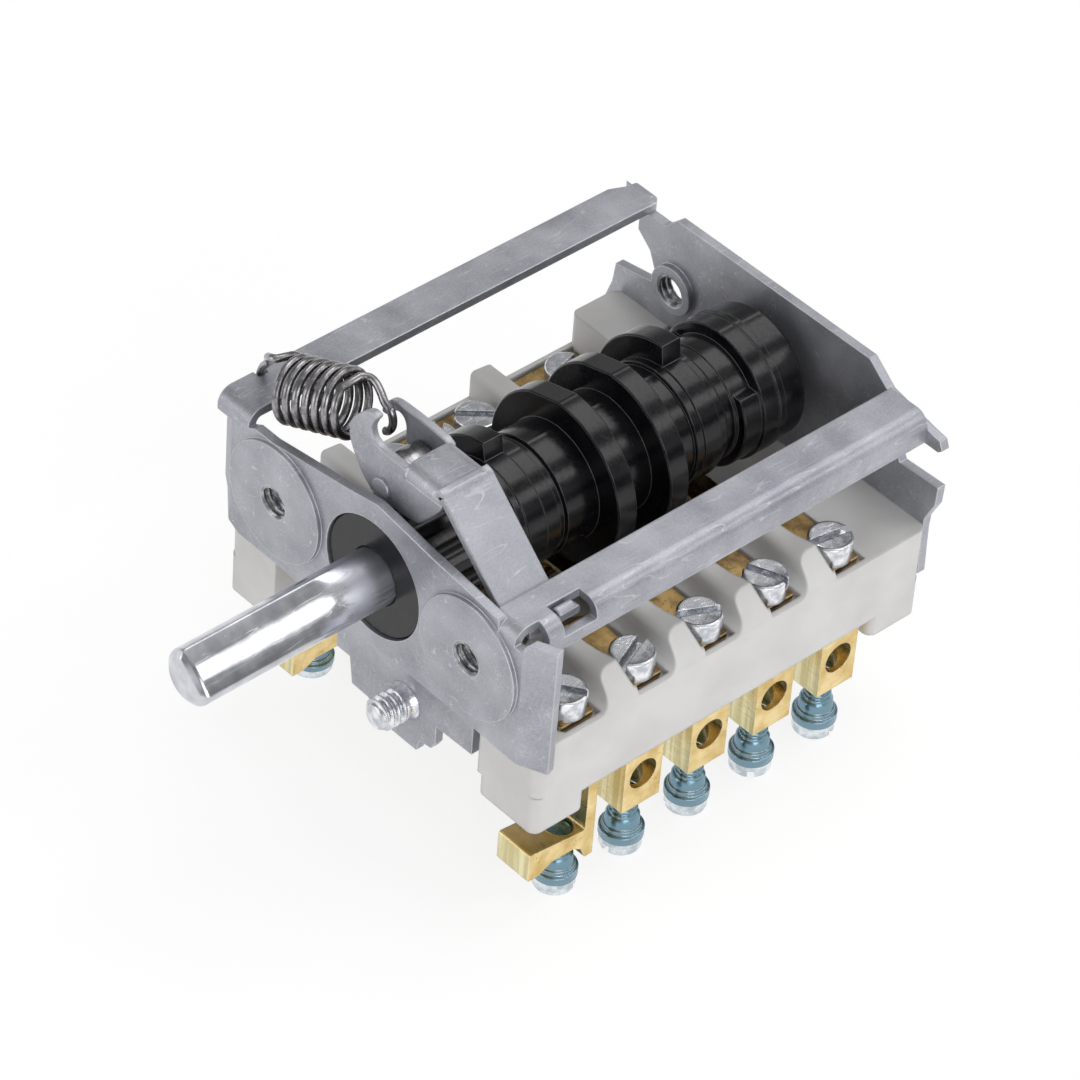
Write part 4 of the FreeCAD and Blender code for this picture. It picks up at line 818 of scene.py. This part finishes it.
def scooped(radius, floor=SCOOP_FLOOR):
    """A rim cut off above the scoop's level, but never below the floor radius."""
    cosine = np.maximum(np.cos(CLOCK), 0.05)
    return np.maximum(floor, np.minimum(radius, SCOOP_LEVEL / cosine))


def disc(front, rim, root, thick=CAM_THICK, edge=EDGE):
    """Stations of one disc on the barrel, its two edges eased by a small chamfer."""
    rear = front + thick
    return [(front, root), (front, rim - edge), (front + edge, rim),
            (rear - edge, rim), (rear, rim - edge), (rear, root)]


BORE = SHAFT_RADIUS + SHAFT_GAP
BORE_END = SHAFT_END + SHAFT_GAP
barrel = seam(BARREL)
foot = seam(CAM_FOOT, 0.05)
flat_cam = with_flat(CAM_RADIUS, -28.0, -3.0)
wheel = detent_wheel()
stations = [
    (BORE_END, 0.0), (BORE_END, BORE), (FRONT_Y + EDGE, BORE), (FRONT_Y, BORE + EDGE),
    (FRONT_Y, JOURNAL - EDGE), (FRONT_Y + EDGE, JOURNAL), (JOURNAL_END, JOURNAL),
    (JOURNAL_END, NECK), (WHEEL_FRONT, NECK), (WHEEL_FRONT, wheel - WHEEL_EDGE),
    (WHEEL_FRONT + WHEEL_EDGE, wheel), (WHEEL_REAR - WHEEL_EDGE, wheel),
    (WHEEL_REAR, wheel - WHEEL_EDGE), (WHEEL_REAR, GROOVE), (13.9, GROOVE), (14.05, barrel)]
stations += disc(14.7, half_cam(BARREL + 0.1, FIRST_CAM, -100.0, -4.0), barrel)
stations += [(18.8, barrel), (19.0, GROOVE), (19.6, GROOVE), (19.8, barrel)]
stations += disc(23.8, flat_cam, barrel)
stations += disc(30.65, flat_cam, barrel)
stations += disc(36.5, foot, barrel, thick=1.0, edge=0.1)[:-1]
stations += disc(37.5, half_cam(CAM_FOOT, CAM_RADIUS), foot)[:-1]
stations += [
    (39.95, barrel), (40.8, barrel), (41.2, GROOVE), (42.3, GROOVE), (42.4, 6.25), (42.6, 6.25),
    (42.6, scooped(SKIRT - 0.1, 6.25)), (42.75, scooped(SKIRT)), (44.85, scooped(SKIRT)),
    (45.0, seam(REAR_GROOVE)), (45.1, seam(REAR_RIM)), (46.9, seam(REAR_RIM)),
    (47.0, REAR_GROOVE), (47.15, REAR_GROOVE), (47.25, seam(REAR_RIM)), (47.95, seam(REAR_RIM)),
    (48.0, seam(SKIRT)), (50.7, seam(SKIRT)), (51.1, SKIRT - 0.4), (51.1, TAIL), (REAR_Y, TAIL),
    (REAR_Y, 0.0)]
drum = make_piece("cam_drum_moulded", [lathe(stations, count=DRUM_COUNT)], "drum", DRUM,
                  sharp=28.0)
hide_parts("cam_drum")
print("drum stations", len(stations), "faces", len(drum.data.polygons))

# %% [markdown]
# The knob shaft is round, with one side ground down for the knob. Grinding and
# plating leave that side slightly crowned, so it shows a bright line between two
# darker ones. It is an arc of a large circle, cut into the round bar, and it runs
# out into the round bar near the plate.

# %% Knob shaft
FLAT_TURN = math.radians(40.6)
FLAT_HALF = 2.54
FLAT_AT = 1.6
CROWN = 11.5
FADE_FROM = -7.0
FADE_TO = -1.0
FADE_STEPS = 17


def crowned(radius):
    """Radius at each clock angle: the bar's, or less where the crown's circle lies inside it."""
    angle = np.angle(np.exp(1j * (CLOCK - FLAT_TURN)))
    centre = math.sqrt(CROWN ** 2 - FLAT_HALF ** 2) - FLAT_AT
    under = np.maximum(CROWN ** 2 - (centre * np.sin(angle)) ** 2, 0)
    arc = -centre * np.cos(angle) + np.sqrt(under)
    return np.where(np.cos(angle) > 0, np.minimum(radius, arc), radius)


ground = crowned(SHAFT_RADIUS)
stations = [
    (SHAFT_TIP, 0.0), (SHAFT_TIP, ground - 0.75), (SHAFT_TIP + 0.12, ground - 0.55),
    (SHAFT_TIP + 0.45, ground - 0.12), (SHAFT_TIP + 0.7, ground)]
for step in np.linspace(0, 1, FADE_STEPS):
    eased = step * step * (3 - 2 * step)
    place = FADE_FROM + (FADE_TO - FADE_FROM) * step
    stations.append((place, ground * (1 - eased) + SHAFT_RADIUS * eased))
stations += [(0.3, SHAFT_RADIUS), (SHAFT_END, SHAFT_RADIUS), (SHAFT_END, 0.0)]
shaft = make_piece("selector_shaft_ground", [lathe(stations, count=DRUM_COUNT)], "drum", BRIGHT,
                   sharp=24.0)
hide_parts("selector_shaft")
print("shaft from", round(SHAFT_TIP, 2), "to", round(SHAFT_END, 2), "mm")

# %% [markdown]
# A screw head is a stack of chords: rows run across the slot and every row is one
# chord of the round head. Two rows share each slot wall, so the slot has sharp
# corners and open ends, and the rim falls away in a quarter round. The five
# screws of a row stand where their CAD node has them, each slot turned its own way.

# %% Screws
HEAD_ROWS = 14
HEAD_COLUMNS = 27
RIM = 0.3
CONTACT_HEAD = 2.3
CONTACT_HEIGHT = 2.4
CONTACT_SLOT = (0.85, 1.0)
CONTACT_THREAD = (1.25, 1.48)
CLAMP_HEAD = 2.3
CLAMP_SLOT = (0.8, 0.9)
CLAMP_THREAD = (1.2, 1.45)
CLAMP_TIP = -21.35
PITCH = 0.7
APART = 0.35
SLOT_TURNS = {
    "contact_screws_right": (38, 112, 64, 24, 80),
    "contact_screws_left": (20, 75, 130, 50, 105),
    "clamp_screws_right": (30, 95, 60, 140, 15),
    "clamp_screws_left": (70, 20, 120, 55, 100),
}


def slotted_head(place, radius, low, high, slot, turn):
    """A round head with a slot across it. low is the flat face, high the slotted one.

    slot is its width and depth, and turn its direction in degrees."""
    wide, deep = slot
    half = wide / 2
    outward = half + (radius - half) * np.sin(np.linspace(0, np.pi / 2, HEAD_ROWS))
    across = np.concatenate([-outward[::-1], [-half, half], outward])
    sunk = np.abs(np.arange(len(across)) - (len(across) - 1) / 2) < 1
    along = np.sin(np.linspace(-np.pi / 2, np.pi / 2, HEAD_COLUMNS))
    chord = np.sqrt(np.maximum(radius ** 2 - across ** 2, 0))
    first = np.repeat(across[:, None], len(along), axis=1)
    second = chord[:, None] * along[None, :]
    fall = np.clip((np.hypot(first, second) - radius + RIM) / RIM, 0, 1)
    sign = 1.0 if high > low else -1.0
    face = high - sign * RIM * (1 - np.sqrt(1 - fall ** 2))
    face = np.where(sunk[:, None], high - sign * deep, face)
    cos, sin = math.cos(math.radians(turn)), math.sin(math.radians(turn))
    x = place[0] + first * sin + second * cos
    y = place[1] - first * cos + second * sin
    top = np.stack([x, y, face], axis=-1)
    bottom = np.stack([x, y, np.full_like(face, low)], axis=-1)
    return np.concatenate([top, bottom[:, ::-1]], axis=1)


def places_of(node):
    """Where like screws stand, from their CAD node: x, one y each, and lowest and highest z."""
    points = np.empty(len(NODES[node].data.vertices) * 3)
    NODES[node].data.vertices.foreach_get("co", points)
    points = points.reshape(-1, 3) / MM
    low, high = points.min(axis=0), points.max(axis=0)
    x = (low[0] + high[0]) / 2
    ys = np.sort(points[:, 1])
    groups = np.split(ys, np.flatnonzero(np.diff(ys) > APART) + 1)
    return x, [float((group[0] + group[-1]) / 2) for group in groups], (low[2], high[2])


def contact_screw(place, ends, turn):
    """A slotted cheese head on a threaded shank. ends is the lowest and the highest z."""
    low, high = ends
    under = high - CONTACT_HEIGHT
    shank = [(low, 0.0), (low, 1.2)]
    shank += thread(low + 0.2, under - 0.1, *CONTACT_THREAD, PITCH, 48)
    shank += [(under, 1.3), (under, 0.0)]
    return [slotted_head(place, CONTACT_HEAD, under, high, CONTACT_SLOT, turn),
            lathe(shank, place, "z", 48)]


def clamp_screw(place, ends, turn):
    """A screw with its head down, with a flange, a stepped neck and a thread above it."""
    low = ends[0]
    ring = head_top(low)
    rise = (BLOCK_UNDER - low) / 6
    body = [
        (ring - 0.05, 0.0), (ring - 0.05, CLAMP_HEAD - 0.1), (ring + 0.08, CLAMP_HEAD),
        (ring + rise * 0.8, CLAMP_HEAD), (ring + rise * 0.9, CLAMP_HEAD - 0.1),
        (ring + rise * 0.95, 2.0), (ring + rise * 1.3, 1.95), (ring + rise * 1.4, 1.75),
        (ring + rise * 2.2, 1.7), (ring + rise * 2.4, 1.5)]
    body += thread(ring + rise * 2.5, CLAMP_TIP - 0.1, *CLAMP_THREAD, PITCH, 64)
    body += [(CLAMP_TIP, 1.1), (CLAMP_TIP, 0.0)]
    return [slotted_head(place, CLAMP_HEAD - 0.15, ring, low, CLAMP_SLOT, turn),
            lathe(body, place, "z", 64)]


def screw_row(node, screw, finish):
    """All screws of one CAD node, turned as one piece that takes its place."""
    x, ys, ends = places_of(node)
    grids = []
    for y, turn in zip(ys, SLOT_TURNS[node]):
        grids += screw((x, y), ends, turn)
    row = make_piece(node + "_turned", grids, "housing", finish, sharp=40.0)
    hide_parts(node)
    print(node, "at x", round(x, 2), "y", [round(y, 2) for y in ys])


for side in SIDES:
    screw_row("contact_screws_" + side, contact_screw, ZINC)
for side in SIDES:
    screw_row("clamp_screws_" + side, clamp_screw, BLUE_ZINC[side])

# %% [markdown]
# The earth stud has a thread, and the four fixing holes are tapped. A thread is a
# turned shell whose radius rises and falls once a pitch. Inside a hole the crests
# point inwards and the shell's back lies just inside the sheet.

# %% Threads
STUD_AT = (3.5, -14.6)
STUD_PITCH = 0.8
TONGUE_FACE = 2.5
HOLE = 1.85
HOLES_AT = (-14.0, 14.0)
BOSS_BACK = 2.85
REAR_THICK = 1.65
THREAD_IN = 0.02
REAR_BACK = float(box_mm("rear_plate")[1][1])

stud_low, stud_high = box_mm("earth_stud")
tip = float(stud_low[1])
stud_end = float(stud_high[1])
stations = [(tip, 0.0), (tip, 1.3), (tip + 0.3, 1.5)]
stations += thread(tip + 0.35, tip + 2.75, 1.4, 1.8, STUD_PITCH, 96, 14)
stations += [
    (tip + 2.85, 1.75), (tip + 3.1, 1.8), (TONGUE_FACE - 0.3, 1.95), (TONGUE_FACE - 0.1, 2.1),
    (TONGUE_FACE, 2.15), (TONGUE_FACE, 1.6), (TONGUE_FACE + 1.0, 1.6), (TONGUE_FACE + 1.0, 2.4),
    (stud_end, 2.3), (stud_end, 0.0)]
stud = make_piece("earth_stud_threaded", [lathe(stations, STUD_AT)], "housing", ZINC,
                  sharp=30.0)
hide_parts("earth_stud")

for title, start, end in (
        ("front", THREAD_IN, BOSS_BACK),
        ("rear", REAR_BACK - REAR_THICK, REAR_BACK - THREAD_IN)):
    inner = thread(start, end, HOLE - 0.02, HOLE - 0.3, PITCH, 72, 12)
    closed = [(start, HOLE + 0.03)] + inner + [(end, HOLE + 0.03), (start, HOLE + 0.03)]
    make_piece("tapped_holes_" + title, [lathe(closed, (x, 0.0), "y", 72) for x in HOLES_AT],
               "housing", THREAD_STEEL, sharp=30.0)
print("threads made")

# %% [markdown]
# The spring is a tube along one smooth path: a hook round the left strap, close
# turns on a slanting axis, and a straight end that curls down behind the lever's
# sheet. The tube's rings are carried along the path without twisting.

# %% Detent spring
WIRE = 0.84
WIRE_COUNT = 20
COIL = 7.2
TURNS = 7
TURN_STEPS = 40
COIL_START = np.array((-17.25, 4.2, 10.1))
COIL_END = np.array((-9.7, 6.2, 12.0))
LEFT_KNOTS = [
    (-21.9, 5.5, 5.9), (-22.7, 5.5, 6.3), (-22.85, 5.5, 7.3), (-22.4, 5.5, 8.7),
    (-21.2, 5.2, 10.2), (-20.3, 4.2, 11.9), (-19.0, 3.5, 13.0)]
RIGHT_KNOTS = [
    (-9.5, 7.3, 15.0), (-8.6, 7.5, 14.8), (-7.6, 7.3, 14.4), (-6.6, 7.0, 13.9),
    (-5.75, 7.0, 13.5), (-5.35, 7.0, 12.6), (-5.4, 7.0, 11.7), (-5.85, 7.0, 10.9),
    (-6.3, 7.0, 10.6)]


def smooth_path(knots, steps):
    """A Catmull-Rom curve through the knots: each stretch blends four neighbours by cubics."""
    knots = np.asarray(knots, dtype=float)
    padded = np.vstack([2 * knots[0] - knots[1], knots, 2 * knots[-1] - knots[-2]])
    t = np.linspace(0, 1, steps, endpoint=False)[:, None]
    pieces = []
    for index in range(len(knots) - 1):
        a, b, c, d = padded[index:index + 4]
        pieces.append(0.5 * (2 * b + (c - a) * t + (2 * a - 5 * b + 4 * c - d) * t ** 2
                             + (3 * b - a - 3 * c + d) * t ** 3))
    return np.vstack(pieces + [knots[-1:]])


def tube(path, radius, count):
    """A round wire along a path, its ends closed. Rings are carried on by the smallest turn."""
    ahead = np.gradient(path, axis=0)
    ahead /= np.linalg.norm(ahead, axis=1)[:, None]
    side = np.cross(ahead[0], (0.0, 0.0, 1.0))
    sides = []
    for direction in ahead:
        side = side - direction * np.dot(side, direction)
        side = side / np.linalg.norm(side)
        sides.append(side)
    first = np.array(sides)
    second = np.cross(ahead, first)
    angle = np.linspace(0, 2 * np.pi, count, endpoint=False)[:, None]
    ring = (first[:, None] * np.cos(angle) + second[:, None] * np.sin(angle)) * radius
    ends = [np.repeat(path[index:index + 1, None], count, axis=1) for index in (0, -1)]
    return np.concatenate([ends[0], path[:, None] + ring, ends[1]])


axis = COIL_END - COIL_START
length = np.linalg.norm(axis)
axis = axis / length
across = np.cross(axis, (0.0, 0.0, 1.0))
across /= np.linalg.norm(across)
above = np.cross(across, axis)
mean = (COIL - WIRE) / 2
steps = np.linspace(0, 1, TURNS * TURN_STEPS + 1)[:, None]
angle = 2 * np.pi * TURNS * steps + np.pi / 2
coil = (COIL_START + axis * (length * steps)
        + across * (mean * np.cos(angle)) + above * (mean * np.sin(angle)))
hook_left = smooth_path(LEFT_KNOTS + [coil[0]], 8)[:-4]
hook_right = smooth_path([coil[-1]] + RIGHT_KNOTS, 8)[4:]
wire = np.vstack([hook_left, coil[3:-3], hook_right])
spring = make_piece("detent_spring_wound", [tube(wire, WIRE / 2, WIRE_COUNT)], "housing", SPRING,
                    sharp=60.0)
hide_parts("detent_spring")
wire_length = np.linalg.norm(np.diff(wire, axis=0), axis=1).sum()
print("spring wire length", round(float(wire_length), 1), "mm")

# %% [markdown]
# The detent lever is one folded sheet. Two cheeks hold the roller's pin: the front
# one rises to an ear with a round bite, the rear one ends in a prong for the
# spring. The top runs down to a heel in the right strap. Each cheek is an outline
# given a thickness, and the folded top and the heel are sections carried along X.

# %% Detent lever
SHEET = 0.9
EASE = 0.12
FOLD = 1.5
INNER_FOLD = FOLD - SHEET
TOP_Z = 14.0
lever_low, lever_high = box_mm("detent_lever")
EAR_Z = float(lever_high[2])
FRONT = float(lever_low[1])
REAR = float(lever_high[1])


def plate(outline, front, rear):
    """A sheet outline in X and Z with a thickness along Y. Both rims are eased by an inset."""
    flat = np.asarray(outline, dtype=float)
    ahead = np.roll(flat, -1, axis=0) - np.roll(flat, 1, axis=0)
    inward = np.stack([-ahead[:, 1], ahead[:, 0]], axis=1)
    inward /= np.linalg.norm(inward, axis=1)[:, None]
    rings = []
    for place, inset in ((front, EASE), (front + EASE, 0.0), (rear - EASE, 0.0), (rear, EASE)):
        ring = flat + inward * inset
        rings.append(np.stack([ring[:, 0], np.full(len(ring), place), ring[:, 1]], axis=-1))
    return np.stack(rings)


def curve(knots, steps=6):
    """A smooth line in X and Z through the knots."""
    return smooth_path([(x, 0.0, z) for x, z in knots], steps)[:, [0, 2]]


def band(upper, front, rear):
    """A strip under a line in X and Z: at each point a flat section, square to the line."""
    ahead = np.gradient(upper, axis=0)
    ahead /= np.linalg.norm(ahead, axis=1)[:, None]
    down = np.stack([ahead[:, 1], -ahead[:, 0]], axis=1)
    corners = (
        (front + EASE, 0.0), (rear - EASE, 0.0), (rear, EASE), (rear, SHEET - EASE),
        (rear - EASE, SHEET), (front + EASE, SHEET), (front, SHEET - EASE), (front, EASE))
    columns = [
        np.stack([upper[:, 0] + down[:, 0] * deep, np.full(len(upper), place),
                  upper[:, 1] + down[:, 1] * deep], axis=-1)
        for place, deep in corners]
    return np.stack(columns, axis=1)


lower_edge = curve([(-1.4, 7.7), (1.2, 7.8), (3.3, 8.1), (4.2, 8.8), (6.2, 11.2), (6.7, 12.2)])
fold_edge = [(6.7, TOP_Z - FOLD), (1.7, TOP_Z - FOLD), (1.6, TOP_Z - 0.5)]
ear_edge = curve([
    (0.6, 13.55), (-1.0, 13.6), (-2.4, 13.7), (-3.2, 14.2), (-3.45, 15.2), (-3.1, 16.2),
    (-2.75, 16.8), (-3.0, EAR_Z - 0.05), (-3.9, EAR_Z - 0.1), (-5.1, 16.0), (-6.0, 14.9),
    (-6.5, 13.6), (-6.4, 12.2), (-5.6, 10.6), (-4.4, 9.0), (-3.0, 7.8)])
prong_edge = curve([
    (0.9, TOP_Z - 0.1), (-1.5, TOP_Z), (-4.3, TOP_Z), (-6.2, 13.85), (-7.2, 13.2),
    (-7.85, 12.2), (-7.9, 11.5), (-7.2, 11.5), (-6.6, 12.3), (-5.7, 12.9), (-4.9, 12.7),
    (-4.5, 11.8), (-4.4, 10.0), (-3.0, 7.8)])
front_cheek = np.vstack([lower_edge, fold_edge, ear_edge])
rear_cheek = np.vstack([lower_edge, fold_edge, prong_edge])

quarter = np.linspace(0, np.pi / 2, 8)
sine, cosine = np.sin(quarter), np.cos(quarter)
section = np.concatenate([
    np.stack([FRONT + FOLD - FOLD * cosine, FOLD * sine - FOLD], axis=1),
    np.stack([REAR - FOLD + FOLD * sine, FOLD * cosine - FOLD], axis=1),
    np.stack([REAR - FOLD + INNER_FOLD * cosine, INNER_FOLD * sine - FOLD], axis=1),
    np.stack([FRONT + FOLD - INNER_FOLD * sine, INNER_FOLD * cosine - FOLD], axis=1)])
roof = np.stack([
    np.stack([np.full(len(section), x), section[:, 0], TOP_Z + section[:, 1]], axis=-1)
    for x in (1.45, 1.55, 3.0, 4.5, 6.0, 6.6, 6.7)])
slope = curve([
    (6.0, TOP_Z - 0.02), (6.5, TOP_Z - 0.1), (6.9, 13.7), (7.3, 13.3), (10.0, 10.85),
    (13.0, 8.15), (15.0, 6.35), (15.7, 5.95), (16.6, 5.9), (19.6, 5.9)], 8)
tab = curve([(18.6, 5.9), (18.9, 6.4), (19.3, 7.0), (19.9, 6.9), (20.2, 6.6)])
lever = make_piece("detent_lever_folded", [
    plate(front_cheek, FRONT, FRONT + SHEET), plate(rear_cheek, REAR - SHEET, REAR), roof,
    band(slope, FRONT, REAR), band(tab, 5.7, 7.8)], "lever", PLATED, sharp=30.0)
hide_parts("detent_lever")
print("lever faces", len(lever.data.polygons), "highest z", round(EAR_Z, 2))
